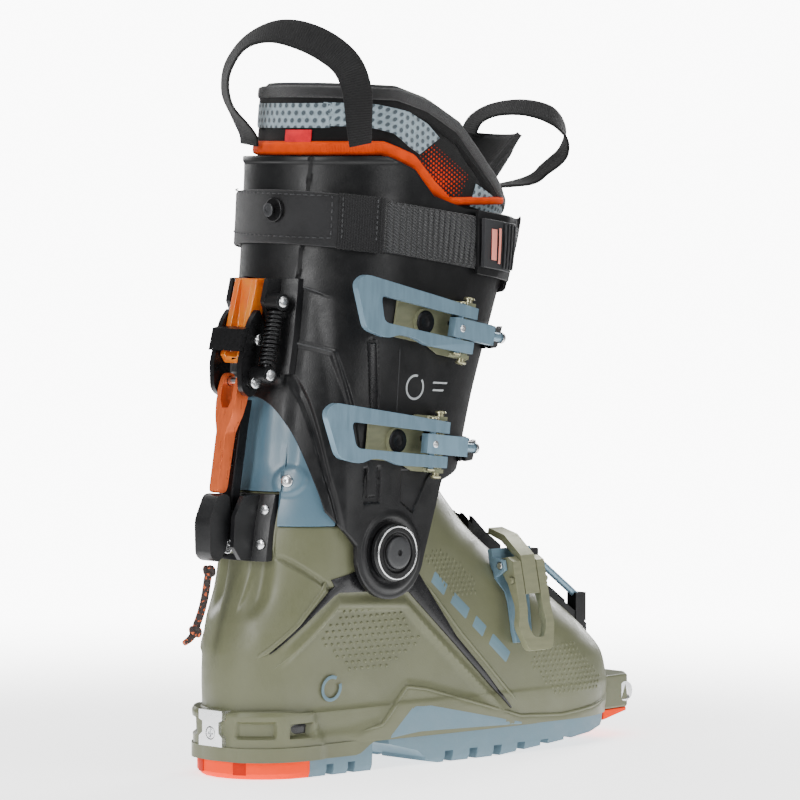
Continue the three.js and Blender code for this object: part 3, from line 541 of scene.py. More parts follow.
def mesh_cloth(name, thread_colour, pit_shade_colour, pitch=5.2):
    """Spacer mesh: round holes in a honeycomb lattice, with a raised ring of threads; the holes are painted darker as
    painted shade in the pits.
    """
    n = Nodes(name)
    u, v, _ = n.split(n.where(uv=True))
    rise = pitch * math.sqrt(3)

    def lattice(du, dv):
        a = n.math("PINGPONG", n.math("ADD", u, du + 1000 * pitch), pitch / 2)
        b = n.math("PINGPONG", n.math("ADD", v, dv + 1000 * rise), rise / 2)
        return n.math("SQRT", n.math("ADD", n.math("MULTIPLY", a, a), n.math("MULTIPLY", b, b)))

    reach = n.math("MINIMUM", lattice(0, 0), lattice(pitch / 2, rise / 2))
    ring = n.ramp(reach, pitch * 0.21, pitch * 0.36)
    ripple = n.math("SINE", n.math("MULTIPLY", reach, 2 * math.pi / 0.9))
    cloth = n.mix(n.ramp(n.noise(400, 4), 0.3, 0.7), shade(thread_colour, 0.82), shade(thread_colour, 1.12))
    # The holes take the darker colour: painted shade in the pits.
    n.colour(n.mix(ring, pit_shade_colour, cloth))
    n.rough(n.ramp(n.noise(200, 3), 0.2, 0.8, 0.7, 0.9))
    n.shader.inputs["Sheen Weight"].default_value = 0.3
    n.bump((ring, 0.9), (ripple, 0.08), (n.noise(1300, 2), 0.1))
    return n.material


def piping_cloth(name, colour):
    """Bound edge: fine ribs across it and a row of stitches down its middle."""
    n = Nodes(name)
    u, v, _ = n.split(n.where(uv=True))
    ribs = n.math("SINE", n.math("MULTIPLY", u, 2 * math.pi / 0.8))
    middle = n.ramp(n.math("ABSOLUTE", v), 0.25, 0.55, 1, 0)
    stitch = n.math("MULTIPLY", middle, n.ramp(n.math("PINGPONG", u, 1.4), 0.5, 0.8, 0, 1))
    cloud = n.ramp(n.noise(120, 3), 0.3, 0.7)
    tint = n.mix(cloud, shade(colour, 0.82), shade(colour, 1.08))
    n.colour(n.mix(stitch, tint, shade(colour, 0.55)))
    n.rough(n.ramp(cloud, 0, 1, 0.68, 0.85))
    n.shader.inputs["Specular IOR Level"].default_value = 0.15
    n.bump((ribs, 0.12), (stitch, 0.25))
    return n.material


def clear_orange(name):
    """Glossy orange plastic that lets some light through."""
    n = Nodes(name)
    cloud = n.noise(60, 3)
    n.colour(n.mix(n.ramp(cloud, 0.3, 0.7), (0.93, 0.16, 0.012), (1.0, 0.30, 0.02)))
    n.rough(n.ramp(cloud, 0.3, 0.7, 0.12, 0.24))
    n.shader.inputs["Transmission Weight"].default_value = 0.35
    n.shader.inputs["Coat Weight"].default_value = 0.6
    n.shader.inputs["Subsurface Weight"].default_value = 0.3
    n.shader.inputs["Subsurface Radius"].default_value = (1.0, 0.4, 0.1)
    n.shader.inputs["Subsurface Scale"].default_value = 0.006
    n.bump((n.noise(300, 2), 0.03))
    return n.material


def flecked_cord(name):
    """Braided cord: black and brown yarns with orange flecks."""
    n = Nodes(name)
    u, v, _ = n.split(n.where(uv=True))
    a = n.math("SINE", n.math("MULTIPLY", n.math("ADD", u, v), 2 * math.pi / 1.6))
    b = n.math("SINE", n.math("MULTIPLY", n.math("SUBTRACT", u, v), 2 * math.pi / 1.6))
    braid = n.math("MULTIPLY", a, b)
    fleck = n.ramp(n.noise(520, 2, 0.5), 0.56, 0.62)
    yarn = n.mix(n.ramp(braid, -0.6, 0.6), (0.012, 0.010, 0.010), (0.05, 0.035, 0.03))
    n.colour(n.mix(fleck, yarn, (0.75, 0.13, 0.03)))
    n.rough(n.ramp(braid, -1, 1, 0.75, 0.9))
    n.bump((braid, 0.25))
    return n.material


def floor_material():
    """White floor that fades into the white of the room away from the boot."""
    n = Nodes("pale_floor")
    cloud = n.ramp(n.noise(3, 2), 0.3, 0.7)
    n.colour(n.mix(cloud, (0.90, 0.90, 0.90), (0.92, 0.92, 0.92)))
    n.rough(0.75)
    n.shader.inputs["Emission Color"].default_value = (1, 1, 1, 1)
    n.shader.inputs["Emission Strength"].default_value = FLOOR_GLOW
    reach = n.add("ShaderNodeVectorMath", operation="LENGTH")
    n.link(n.where(), reach.inputs[0])
    fade = n.add("ShaderNodeMixShader")
    n.link(n.ramp(reach.outputs["Value"], *FLOOR_FADE), fade.inputs[0])
    n.link(n.shader.outputs[0], fade.inputs[1])
    n.link(n.add("ShaderNodeBsdfTransparent").outputs[0], fade.inputs[2])
    n.link(fade.outputs[0], n.tree.nodes["Material Output"].inputs[0])
    return n.material


OLIVE = (0.100, 0.105, 0.058)
BLACK = (0.0048, 0.0050, 0.0056)


def make_materials():
    return {
        "olive_shell": plastic("olive_shell", OLIVE, 0.42, grain=0.06, mottle=0.05, corner_paling=0.12),
        "black_plastic": plastic("black_plastic", BLACK, 0.40, grain=0.07, mottle=0.25, corner_paling=0.3),
        "black_slit": plastic("black_slit", (0.008, 0.008, 0.009), 0.25, grain=0.03, corner_paling=0.1),
        "grey_plastic": plastic("grey_plastic", (0.030, 0.031, 0.033), 0.45, grain=0.06),
        "pale_plastic": plastic("pale_plastic", (0.24, 0.25, 0.26), 0.5, grain=0.05),
        "blue_plastic": plastic("blue_plastic", (0.070, 0.128, 0.170), 0.36, grain=0.03, mottle=0.06,
                                corner_paling=0.35, coat=0.25),
        "blue_print": plastic("blue_print", (0.085, 0.150, 0.185), 0.5, grain=0.04, corner_paling=0),
        "grey_print": plastic("grey_print", (0.45, 0.47, 0.48), 0.5, grain=0.04, corner_paling=0),
        "blue_metal": metal("blue_metal", (0.165, 0.262, 0.335), 0.36, 0.45, brushed=(1, 1, 0.15)),
        "olive_metal": metal("olive_metal", (0.215, 0.22, 0.135), 0.40, 0.40, brushed=(0.2, 1, 1)),
        "gold_metal": metal("gold_metal", (0.40, 0.385, 0.24), 0.32, 0.9),
        "salmon_metal": metal("salmon_metal", (0.85, 0.16, 0.045), 0.30, 0.6, brushed=(1, 1, 0.15)),
        "steel": metal("steel", (0.72, 0.73, 0.74), 0.24, 1.0, brushed=(1, 0.2, 1)),
        "black_metal": metal("black_metal", (0.012, 0.012, 0.013), 0.30, 0.6),
        "blue_rubber": rubber("blue_rubber", (0.100, 0.165, 0.205)),
        "orange_rubber": rubber("orange_rubber", (0.86, 0.040, 0.0), 0.6, 0.1),
        "orange_translucent": clear_orange("orange_translucent"),
        "liner_cloth": knit("liner_cloth", (0.0035, 0.0035, 0.0038), fuzz=0.12),
        "binding_cloth": knit("binding_cloth", (0.009, 0.009, 0.010), pitch=0.6, fuzz=0.4),
        # the spacer mesh's second colour is painted shade in its holes
        "mesh_cloth": mesh_cloth("mesh_cloth", (0.31, 0.395, 0.445), (0.06, 0.085, 0.10), pitch=4.6),
        "piping_cloth": piping_cloth("piping_cloth", (1.0, 0.075, 0.0)),
        "webbing": webbing_cloth("webbing", (0.0085, 0.0085, 0.009), rib=1.3, thread=0.7, depth=0.12),
        "strap_webbing": ribbed_webbing("strap_webbing", (0.046, 0.047, 0.050), STRAP_RIB),
        "twill": webbing_cloth("twill", (0.014, 0.014, 0.015), rib=1.4, thread=1.4, depth=0.18),
        "patch": knit("patch", (0.013, 0.013, 0.014), pitch=0.7, depth=0.05, roughness=0.7),
        "red_tab": knit("red_tab", (0.80, 0.008, 0.020), pitch=0.5, depth=0.05, roughness=0.7),
        "cord": flecked_cord("cord"),
        "thread": knit("thread", (0.035, 0.036, 0.038), pitch=0.4, depth=0.04),
        "pill_mark": plastic("pill_mark", (0.80, 0.26, 0.20), 0.5),
        "dark_orange": rubber("dark_orange", (0.42, 0.012, 0.0), 0.6, 0.1),
        "liner_rough": rubber("liner_rough", (0.018, 0.018, 0.02), 0.9),
    }


# ---------- meshes ----------

def framed(points):
    """Millimetre points as metres in the frame."""
    points = np.asarray(points, float).reshape(-1, 3)
    return (points - np.array([ORIGIN_X, 0, 0])) * MM


def piece(name, points, faces, material, body, replaces=(), slot=None, uv=None, sharp=35):
    """A mesh in the frame that rides on a body. uv holds millimetres for each corner of each face."""
    mesh = bpy.data.meshes.new(name)
    mesh.from_pydata(framed(points).tolist(), [], faces)
    if uv is not None:
        layer = mesh.uv_layers.new(name="mm")
        layer.data.foreach_set("uv", np.asarray(uv, np.float32).ravel())
    mesh.shade_smooth()
    mesh.set_sharp_from_angle(angle=math.radians(sharp))
    mesh.materials.append(MATERIALS[material])
    obj = bpy.data.objects.new(name, mesh)
    bpy.context.collection.objects.link(obj)
    if body:
        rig.ride(obj, body)
    if replaces:
        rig.replaces(obj, *replaces)
    if slot:
        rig.slot(obj, slot)
    return obj


def grid_faces(rows, columns, ring=False):
    j, i = np.meshgrid(np.arange(rows - 1), np.arange(columns if ring else columns - 1), indexing="ij")
    a = j * columns + i
    b = j * columns + (i + 1) % columns
    return np.stack([a, b, b + columns, a + columns], -1).reshape(-1, 4)


def grid_uv(grid, ring=False):
    """Millimetres along and up a grid of points, for each corner of each of its faces."""
    rows, columns = grid.shape[:2]
    along = np.linalg.norm(np.diff(grid, axis=1, append=grid[:, :1]), axis=2)
    u = np.concatenate([np.zeros((rows, 1)), np.cumsum(along, 1)], 1)
    u -= u[:, columns // 2:columns // 2 + 1]
    up = np.linalg.norm(np.diff(grid, axis=0), axis=2)
    v = np.concatenate([np.zeros((1, columns)), np.cumsum(up, 0)], 0)
    v = np.concatenate([v, v[:, :1]], 1)
    last = columns if ring else columns - 1
    j, i = np.meshgrid(np.arange(rows - 1), np.arange(last), indexing="ij")
    corners = [(j, i), (j, i + 1), (j + 1, i + 1), (j + 1, i)]
    return np.stack([np.stack([u[c], v[c]], -1) for c in corners], 2).reshape(-1, 4, 2)


def thick_grid(outer, inner, ring):
    """Faces and points of a closed wall between two grids of the same shape."""
    rows, columns = outer.shape[:2]
    count = rows * columns
    points = np.concatenate([outer.reshape(-1, 3), inner.reshape(-1, 3)])
    front = grid_faces(rows, columns, ring)
    back = front[:, ::-1] + count
    edges = []
    last = columns if ring else columns - 1
    for i in range(last):
        k = (i + 1) % columns
        top = (rows - 1) * columns
        edges.append((k, i, i + count, k + count))
        edges.append((top + i, top + k, top + k + count, top + i + count))
    if not ring:
        for j in range(rows - 1):
            a, b = j * columns, (j + 1) * columns
            edges.append((a, b, b + count, a + count))
            a, b = a + columns - 1, b + columns - 1
            edges.append((b, a, a + count, b + count))
    faces = np.concatenate([front, back, np.array(edges)])
    uv = np.concatenate([grid_uv(outer, ring), grid_uv(inner, ring)[:, ::-1], np.zeros((len(edges), 4, 2))])
    return points, faces.tolist(), uv


# ---------- skins of the foot and leg ----------

def smooth(t):
    s = np.clip(t, 0, 1)
    return s * s * (3 - 2 * s)


def toe_shift(x):
    return TOE_BEND * smooth((x - 110) / 160)


def level_at(levels, z):
    """The six sizes of a skin at each height, by a monotone cubic through its levels."""
    table = np.array(levels, float)
    heights, values = table[:, 0], table[:, 1:]
    rise = np.diff(values, axis=0) / np.diff(heights)[:, None]
    product = rise[:-1] * rise[1:]
    total = np.where(np.abs(rise[:-1] + rise[1:]) < 1e-9, 1, rise[:-1] + rise[1:])
    inside = np.where(product > 0, 2 * product / total, 0)
    slope = np.concatenate([rise[:1], inside, rise[-1:]])
    z = np.asarray(z, float)
    i = np.clip(np.searchsorted(heights, z, side="right") - 1, 0, len(heights) - 2)
    span = (heights[i + 1] - heights[i])[..., None]
    t = np.clip((z - heights[i])[..., None] / span, 0, 1)
    t2, t3 = t * t, t * t * t
    ends = (2 * t3 - 3 * t2 + 1) * values[i] + (3 * t2 - 2 * t3) * values[i + 1]
    return np.moveaxis(ends + ((t3 - 2 * t2 + t) * slope[i] + (t3 - t2) * slope[i + 1]) * span, -1, 0)


REAR_SHARE = 0.33
FRONT_SHARE = 0.40


def skin_point(levels, u, z, offset=0.0):
    """A point of a skin. u is 0 at the rear, and -1 and 1 at the front by the lateral and medial sides."""
    u, z = np.broadcast_arrays(np.asarray(u, float), np.asarray(z, float))
    rear, front, half_rear, half_front, cap_rear, cap_front = level_at(levels, z)
    x0, x1 = rear - offset, front + offset
    a, b = cap_rear + offset, cap_front + offset
    s = np.abs(u)
    rear_turn = np.clip(s / REAR_SHARE, 0, 1) * math.pi / 2
    front_turn = np.clip((1 - s) / FRONT_SHARE, 0, 1) * math.pi / 2
    side = np.clip((s - REAR_SHARE) / (1 - REAR_SHARE - FRONT_SHARE), 0, 1)
    straight = x0 + a + (x1 - b - x0 - a) * side
    x = np.where(s < REAR_SHARE, x0 + a * (1 - np.cos(rear_turn)),
                 np.where(s > 1 - FRONT_SHARE, x1 - b * (1 - np.cos(front_turn)), straight))
    k = np.where(s < REAR_SHARE, np.sin(rear_turn), np.where(s > 1 - FRONT_SHARE, np.sin(front_turn), 1))
    half = half_rear + (half_front - half_rear) * smooth((x - x0) / (x1 - x0)) + offset
    return np.stack([x, toe_shift(x) + np.sign(u) * k * half, z], -1)


def side_point(levels, side, x, z, offset=0.0):
    """The point of a skin's lateral (-1) or medial (1) side at that x and height."""
    x, z = np.broadcast_arrays(np.asarray(x, float), np.asarray(z, float))
    rear, front, half_rear, half_front, cap_rear, cap_front = level_at(levels, z)
    x0, x1 = rear - offset, front + offset
    a, b = cap_rear + offset, cap_front + offset
    near_rear = np.clip(1 - (x - x0) / a, 0, 1)
    near_front = np.clip(1 - (x1 - x) / b, 0, 1)
    k = np.sqrt(1 - near_rear ** 2) * np.sqrt(1 - near_front ** 2)
    half = half_rear + (half_front - half_rear) * smooth((x - x0) / (x1 - x0)) + offset
    return np.stack([x, toe_shift(x) + side * k * half, z], -1)


def surface_normals(grid):
    """Outward unit normals of a grid whose columns run counterclockwise seen from above and rows run up."""
    along = np.gradient(grid, axis=1)
    up = np.gradient(grid, axis=0)
    normal = np.cross(along, up)
    length = np.linalg.norm(normal, axis=2, keepdims=True)
    return normal / np.where(length < 1e-9, 1, length)


def inside_outline(outline, x, z):
    """Whether points are inside a closed outline in X and Z."""
    inside = np.zeros(np.broadcast(x, z).shape, bool)
    previous = outline[-1]
    for corner in outline:
        (xa, za), (xb, zb) = previous, corner
        crosses = (za > z) != (zb > z)
        reach = (xb - xa) * (z - za) / ((zb - za) or 1e-9) + xa
        inside ^= crosses & (x < reach)
        previous = corner
    return inside


def trim_heights(levels, u, offset, keep, middle, low, high):
    """Each column's lowest and highest kept height, walking out from the middle height."""
    found = []
    for limit in (low, high):
        steps = np.linspace(middle, limit, 240)
        kept = np.stack([keep(skin_point(levels, u, z, offset)) for z in steps])
        left = ~kept
        first = np.where(left.any(0), left.argmax(0), len(steps) - 1)
        inner, outer = steps[np.maximum(first - 1, 0)], steps[first]
        for _ in range(12):
            test = (inner + outer) / 2
            good = keep(skin_point(levels, u, test, offset))
            inner, outer = np.where(good, test, inner), np.where(good, outer, test)
        found.append(inner)
    return found


COLUMNS = 620
RIM_ROUND = 0.35


def skin_wall(levels, wall, keep, middle, low, high, relief, rows, fixed=()):
    """Outer and inner grids of a trimmed skin; relief moves the outer one by millimetres."""
    u = np.linspace(1, -1, COLUMNS, endpoint=False)
    bottom, top = trim_heights(levels, u, 0, keep, middle, low, high)
    if len(fixed):
        share = np.linspace(0, 1, rows + 1)[1:, None]
        lower = np.repeat(np.array(fixed, float)[:, None], COLUMNS, 1)
        heights = np.concatenate([lower, fixed[-1] + (top - fixed[-1]) * share])
    else:
        share = np.linspace(0, 1, rows)[:, None]
        heights = bottom + (top - bottom) * share
    outer = skin_point(levels, u, heights)
    inner = skin_point(levels, u, heights, -wall)
    normal = surface_normals(outer)
    normal[:, 0] = normal[:, -1] = (normal[:, 1] + normal[:, -2]) / 2
    outer = outer + normal * relief(outer)[..., None]
    outer[-1] -= normal[-1] * RIM_ROUND
    outer[0] -= normal[0] * (0 if len(fixed) else RIM_ROUND)
    return outer, inner


def band(value, centre, width, soft):
    """1 inside centre +- width / 2, falling to 0 over soft."""
    return 1 - smooth((np.abs(value - centre) - width / 2) / soft)


def line_height(points, x):
    return np.interp(x, [p[0] for p in points], [p[1] for p in points])


def distance_to(points, x, z):
    """Shortest distance from each place to an open line through points."""
    best = np.full(np.broadcast(x, z).shape, 1e9)
    for (xa, za), (xb, zb) in zip(points, points[1:]):
        dx, dz = xb - xa, zb - za
        t = np.clip(((x - xa) * dx + (z - za) * dz) / (dx * dx + dz * dz), 0, 1)
        best = np.minimum(best, np.hypot(x - xa - t * dx, z - za - t * dz))
    return best


def travelled(points):
    """The length of a line from its start to each of its points."""
    return np.concatenate([[0], np.cumsum(np.linalg.norm(np.diff(points, axis=0), axis=1))])


def resample(points, count):
    points = np.array(points, float)
    length = travelled(points)
    at = np.linspace(0, length[-1], count)
    return np.stack([np.interp(at, length, points[:, k]) for k in range(points.shape[1])], -1)


def side_strip(name, levels, side, lower, upper, lift, depth, material, body, along=60, across=6, slot=None):
    """A thin plate on a skin's side between two lines in X and Z, its face lifted off the skin."""
    share = np.linspace(0, 1, across)[:, None, None]
    flat = resample(lower, along)[None] * (1 - share) + resample(upper, along)[None] * share
    x, z = flat[..., 0], flat[..., 1]
    edge = np.zeros(x.shape)
    edge[0] = edge[-1] = edge[:, 0] = edge[:, -1] = 0.25
    outer = side_point(levels, side, x, z, lift - edge)
    inner = side_point(levels, side, x, z, lift - depth)
    if side == MEDIAL:
        outer, inner = outer[:, ::-1], inner[:, ::-1]
    points, faces, uv = thick_grid(outer, inner, ring=False)
    return piece(name, points, faces, material, body, uv=uv, slot=slot)


def bead(name, levels, side, path, radius, material, body, sink=0.3, count=80):
    """A half-round ridge along a line on a skin's side."""
    line = resample(path, count)
    tangent = np.gradient(line, axis=0)
    tangent /= np.linalg.norm(tangent, axis=1, keepdims=True)
    across = np.stack([-tangent[:, 1], tangent[:, 0]], -1)
    share = np.linspace(0, 1, count)
    size = np.minimum(1, np.minimum(share, 1 - share) * 12)
    turns = np.linspace(-1, 1, 7) * math.pi / 2
    rows = []
    for turn in turns:
        place = line + across * (radius * math.sin(turn) * size)[:, None]
        rows.append(side_point(levels, side, place[:, 0], place[:, 1], radius * math.cos(turn) * size - sink))
    grid = np.stack(rows)
    if side == MEDIAL:
        grid = grid[:, ::-1]
    return piece(name, grid, grid_faces(*grid.shape[:2]).tolist(), material, body, uv=grid_uv(grid), sharp=60)


def studs(name, levels, side, outline, pitch, radius, height, stretch, lift, material, body):
    """Small domes in a staggered lattice inside an outline in X and Z."""
    xs, zs = np.array(outline, float).T
    points, faces = [], []
    ring = np.linspace(0, 2 * math.pi, 9)[:-1]
    rise = pitch * 0.8
    for row in range(int((zs.max() - zs.min()) / rise) + 1):
        for column in range(int((xs.max() - xs.min()) / pitch) + 1):
            x = xs.min() + (column + 0.5 * (row % 2)) * pitch
            z = zs.min() + row * rise
            if not inside_outline(outline, np.array(x), np.array(z)):
                continue
            start = len(points)
            for share, up in ((1, -0.2), (0.72, 0.55)):
                px = x + radius * share * np.cos(ring)
                pz = z + radius * share * stretch * np.sin(ring)
                points.extend(side_point(levels, side, px, pz, height * up + lift).tolist())
            points.append(side_point(levels, side, x, z, height + lift).tolist())
            for i in range(8):
                k = (i + 1) % 8
                loop = [start + i, start + k, start + 8 + k, start + 8 + i]
                cap = [start + 8 + i, start + 8 + k, start + 16]
                faces.append(loop if side == LATERAL else loop[::-1])
                faces.append(cap if side == LATERAL else cap[::-1])
    return piece(name, points, faces, material, body, sharp=80)


def ring_patch(name, levels, side, centre, inner, outer, start, end, lift, material, body):
    """A flat arc on a skin's side, between two radii and two angles in degrees."""
    angles = np.radians(np.linspace(start, end, 72))
    around = np.stack([np.cos(angles), np.sin(angles)], -1)
    lower = np.array(centre) + around * outer
    upper = np.array(centre) + around * inner
    return side_strip(name, levels, side, lower, upper, lift, 0.3, material, body, along=72, across=3)


def both_sides(build):
    """Build something on the lateral and then on the medial side."""
    for word, side in (("lateral", LATERAL), ("medial", MEDIAL)):
        build(word, side)


# ---------- lower shell ----------

SHELL_SIDE = [(-30, 10), (300, 10), (300, 60), (260, 120), (166, 130), (156, 128), (143, 142),
              (134, 150), (-30, 150)]
# Rows of the shell's grid are closest where the heel's window and ledge have their edges.
HEEL_ROWS = [16, 18, 20, 21.5, 22.3, 23, 25, 27, 28.5, 29.3, 31, 33, 33.8, 34.4, 34.9, 35.4, 36, 37]
CHEVRON = [(6, 54), (46, 91), (94, 88), (176, 17)]  # the ridge above the studded panel
SOLE_EDGE = [(58, 20), (80, 24), (97, 43), (110, 41), (180, 21), (212, 19), (240, 21.5), (262, 26)]


def shell_keep(p):
    """Where the shell has a wall: inside its side outline, but not at the rear rim or in the tongue's slot."""
    x, y, z = p[..., 0], p[..., 1], p[..., 2]
    rear_rim = (x < 46) & (np.abs(y) > 21) & (z > 132)
    tongue_slot = (x > 118) & (np.abs(y) < 9) & (z > 112)
    return inside_outline(SHELL_SIDE, x, z) & ~rear_rim & ~tongue_slot


def shell_relief(p):
    x, y, z = p[..., 0], p[..., 1], p[..., 2]
    wide = smooth((np.abs(y) - 8) / 10)
    below = line_height(CHEVRON, x) - z  # the studded panel is sunk below the chevron ridge
    panel = smooth((x - 12) / 12) * smooth((178 - x) / 16) * wide
    relief = -1.3 * smooth((below - 1.8) / 2.6) * smooth((z - line_height(SOLE_EDGE, x)) / 5) * panel
    relief = relief + 0.9 * band(below, 0.4, 1.0, 2.4) * panel
    relief = relief - 0.9 * band(below, -5.0, 1.0, 3.0) * panel * smooth((z - 24) / 8)
    edge = z - line_height(SOLE_EDGE, x)  # a lip runs along the sole
    along_sole = smooth((x - 56) / 8) * smooth((266 - x) / 10) * smooth((np.abs(y) - 4) / 8)
    relief = relief + 0.9 * (1 - smooth((edge + 1) / 2)) * along_sole
    ledge_end = 31 + (35 - z) * 0.42  # the heel's ledge, with a window and a recess in it
    relief = relief + 1.9 * (1 - smooth((x - ledge_end) / 2)) * (1 - smooth((z - 34.4) / 0.9)) * wide
    window = band(x, 24, 13, 1) * band(z, 25.5, 6, 1) * wide
    recess = band(x, 3, 12, 1.5) * band(z, 26.5, 7, 1.2) * smooth((np.abs(y) - 11) / 3)
    relief = relief - 4.0 * window - 3.0 * recess
    # The rear is hollow on each side of an upright rib.
    hollow = np.exp(-((np.abs(y) - 15) / 5.0) ** 2) * smooth((z - 82) / 14) * smooth((118 - z) / 4)
    relief = relief - 3.2 * hollow * smooth((34 - x) / 12)
    rib = (1 - smooth((np.abs(y) - 6 - (z - 88) * 0.14) / 2)) * smooth((z - 84) / 10) * smooth((20 - x) / 8)
    relief = relief + 0.8 * rib
    crease = distance_to([(12.5, 121), (40, 99)], x, z)
    relief = relief - 1.6 * band(crease, 0, 0.6, 1.8) * smooth((x - 12) / 10) * smooth((46 - x) / 5) * wide
    return relief


def make_shell():
    rows = HEEL_ROWS + list(np.linspace(38, 100, 84))
    outer, inner = skin_wall(SHELL_LEVELS, SHELL_WALL, shell_keep, 60, SHELL_BOTTOM, 150, shell_relief,
                             46, rows)
    points, faces, uv = thick_grid(outer, inner, ring=True)
    piece("boot_shell", points, faces, "olive_shell", "shell", ("lower_shell",), "olive_shell", uv)
    heel_skirt()
    low = [(x, y, SHELL_BOTTOM) for x, y, _ in outer[0]]
    piece("shell_underside", low, [list(range(COLUMNS))[::-1]], "olive_shell", "shell", slot="olive_shell")
    both_sides(shell_trim)
    toe_block()


def heel_skirt():
    """The shell's edge comes down over the top of the heel's sole."""
    u = np.linspace(0.56, -0.56, 260)
    edge = skin_point(SHELL_LEVELS, u, SHELL_BOTTOM)
    x = edge[:, 0]
    foot = 9.3 + 6.4 * smooth((x - 62) / 14)
    share = np.linspace(0, 1, 10)[:, None]
    heights = foot + (16.8 - foot) * share
    level = np.broadcast_to(edge[None], (10, 260, 3))
    grid = level.copy()
    grid[..., 2] = heights
    normal = surface_normals(level + np.array([0, 0, 1.0]) * heights[..., None])
    ledge = 1.9 * (1 - smooth((x - 38) / 2)) * smooth((np.abs(grid[0, :, 1]) - 8) / 10)
    outer = grid + normal * (0.9 + ledge)[None, :, None]
    inner = grid + normal * 0.45
    points, faces, uv = thick_grid(outer, inner, ring=False)
    piece("shell_heel_skirt", points, faces, "olive_shell", "shell", slot="olive_shell", uv=uv)


SLITS = {
    "rear": ([(9, 66), (30, 85.5), (42, 95.5), (50, 99)], [(9.2, 66.5), (28, 86.2), (39, 98), (46, 104)]),
    "middle": ([(44, 97), (60, 96.5), (80, 95.5), (98, 94)], [(40, 104), (58, 108), (84, 106), (104, 108)]),
    "front": ([(95, 95), (128, 65.5), (151, 44.6), (172, 25.8)],
              [(103, 104), (130.6, 68.2), (153, 46.8), (172.5, 26.3)]),
}
SHELL_BEADS = [  # path, radius, points along it and how deep it sits
    ("ridge_rear", [(3.5, 63), (22, 81), (36, 99), (37.5, 104)], 1.3, 80, 0.3),
    ("ridge_front", [(107, 100), (134, 70), (156, 49), (178, 28)], 1.1, 80, 0.3),
    ("panel_edge", CHEVRON[:3] + [(172, 21)], 1.0, 160, 0.3),
    ("sole_lip", SOLE_EDGE, 1.2, 160, 0.2),
]
SHELL_STUDS = [  # outline, pitch, radius, height, stretch along Z and lift
    ("middle", [(34, 73), (52, 89), (92, 87), (106, 68), (92, 58), (74, 52), (60, 53)],
     4.3, 0.95, 1.05, 1, -1.25),
    ("instep", [(108, 112), (120, 117), (146, 100), (146, 88), (128, 90)], 3.3, 0.6, 0.55, 2.2, 0),
    ("toe", [(186, 50), (196, 62), (222, 58), (246, 38), (240, 29), (204, 31)], 3.6, 0.75, 0.55, 1.6, 0),
]
STRIPES = [(112, 122), (126, 138), (142, 150), (154, 168)]
STRIPE_FALL = 0.86  # down for each millimetre ahead


def shell_trim(word, side):
    name = f"shell_{word}"
    skin = (SHELL_LEVELS, side)
    for part, (lower, upper) in SLITS.items():
        side_strip(f"{name}_slit_{part}", *skin, lower, upper, 0.8, 1.4, "black_slit", "shell")
    for part, path, radius, count, sink in SHELL_BEADS:
        bead(f"{name}_{part}", *skin, path, radius, "olive_shell", "shell", sink, count)
    for part, *form in SHELL_STUDS:
        studs(f"{name}_studs_{part}", *skin, *form, "olive_shell", "shell")
    side_strip(f"{name}_sole_wedge", *skin, [(85, 16.2), (112, 16.2), (150, 16.2), (182, 16.2)],
               [(85.5, 17), (101, 36), (112, 34.2), (182, 17.4)], 1.0, 1.2, "blue_rubber", "shell",
               slot="blue_rubber")
    side_strip(f"{name}_window_floor", *skin, [(18, 22.6), (30, 22.6)], [(18, 28.4), (30, 28.4)], -2.9, 1,
               "black_slit", "shell", along=12)
    if side == LATERAL:
        ring_patch(f"{name}_ring_mark", *skin, (44.8, 46), 5.2, 7.0, 60, 380, 0.15, "blue_print", "shell")
    for k, (x0, x1) in enumerate(STRIPES):
        z0 = 101 - (x0 - STRIPES[0][0]) * STRIPE_FALL
        z1 = z0 - (x1 - x0) * STRIPE_FALL
        lower = [(x0, z0 - 3), (x1, z1 - 3)]
        upper = [(x0 + 4, z0 + 4), (x1 + 4, z1 + 4)]
        side_strip(f"{name}_stripe_{k}", *skin, lower, upper, 0.12, 0.3, "blue_print", "shell", along=16)


def toe_block():
    """The block that carries the toe inserts stays the CAD's own shape, bevelled."""
    outline = [(262, -27), (283, -25), (290, -16), (290, 24), (283, 33), (262, 35)]
    low, high = SHELL_BOTTOM, 35
    count = len(outline)
    points = [(x, y, low) for x, y in outline] + [(x, y, high) for x, y in outline]
    faces = [list(range(count))[::-1], list(range(count, 2 * count))]
    for i in range(count):
        k = (i + 1) % count
        faces.append([i, k, k + count, i + count])
    block = piece("shell_toe_block", points, faces, "olive_shell", "shell", slot="olive_shell")
    bevel(block, 1.4, 3)


def bevel(obj, width, segments, angle=32):
    """Rounds the edges that are sharper than an angle in degrees."""
    modifier = obj.modifiers.new("bevel", "BEVEL")
    modifier.width = width * MM
    modifier.segments = segments
    modifier.limit_method = "ANGLE"
    modifier.angle_limit = math.radians(angle)
    modifier.harden_normals = True


def dress(material, width, *nodes, angle=32):
    """CAD nodes kept as they are, with their finish and rounded edges."""
    for node in nodes:
        obj = frame["nodes"][node]
        mesh = obj.data
        mesh.materials.clear()
        mesh.materials.append(MATERIALS[material])
        if "custom_normal" in mesh.attributes:
            mesh.attributes.remove(mesh.attributes["custom_normal"])
        mesh.shade_smooth()
        obj.modifiers.new("weld", "WELD").merge_threshold = 0.00001
        bevel(obj, width, 2, angle)


# ---------- cuff ----------

CUFF_TOP = [(240, 286), (128, 298), (104, 305), (90, 319), (72, CUFF_RIM), (10, CUFF_RIM)]


def cuff_side():
    """The cuff's outline from the side, with an arc round the pivot."""
    turns = [math.radians(-190 + 10 * k) for k in range(19)]
    arc = [(PIVOT_X + ARM_RADIUS * math.cos(t), PIVOT_Z + ARM_RADIUS * math.sin(t)) for t in turns]
    front = [(116, 153), (136, 157), (150, 169), (178, 192), (240, 198)]
    return [(10, 206), (20, 203), (34, 140), *arc, *front, *CUFF_TOP]


def cuff_keep(p):
    return inside_outline(CUFF_SIDE, p[..., 0], p[..., 2])


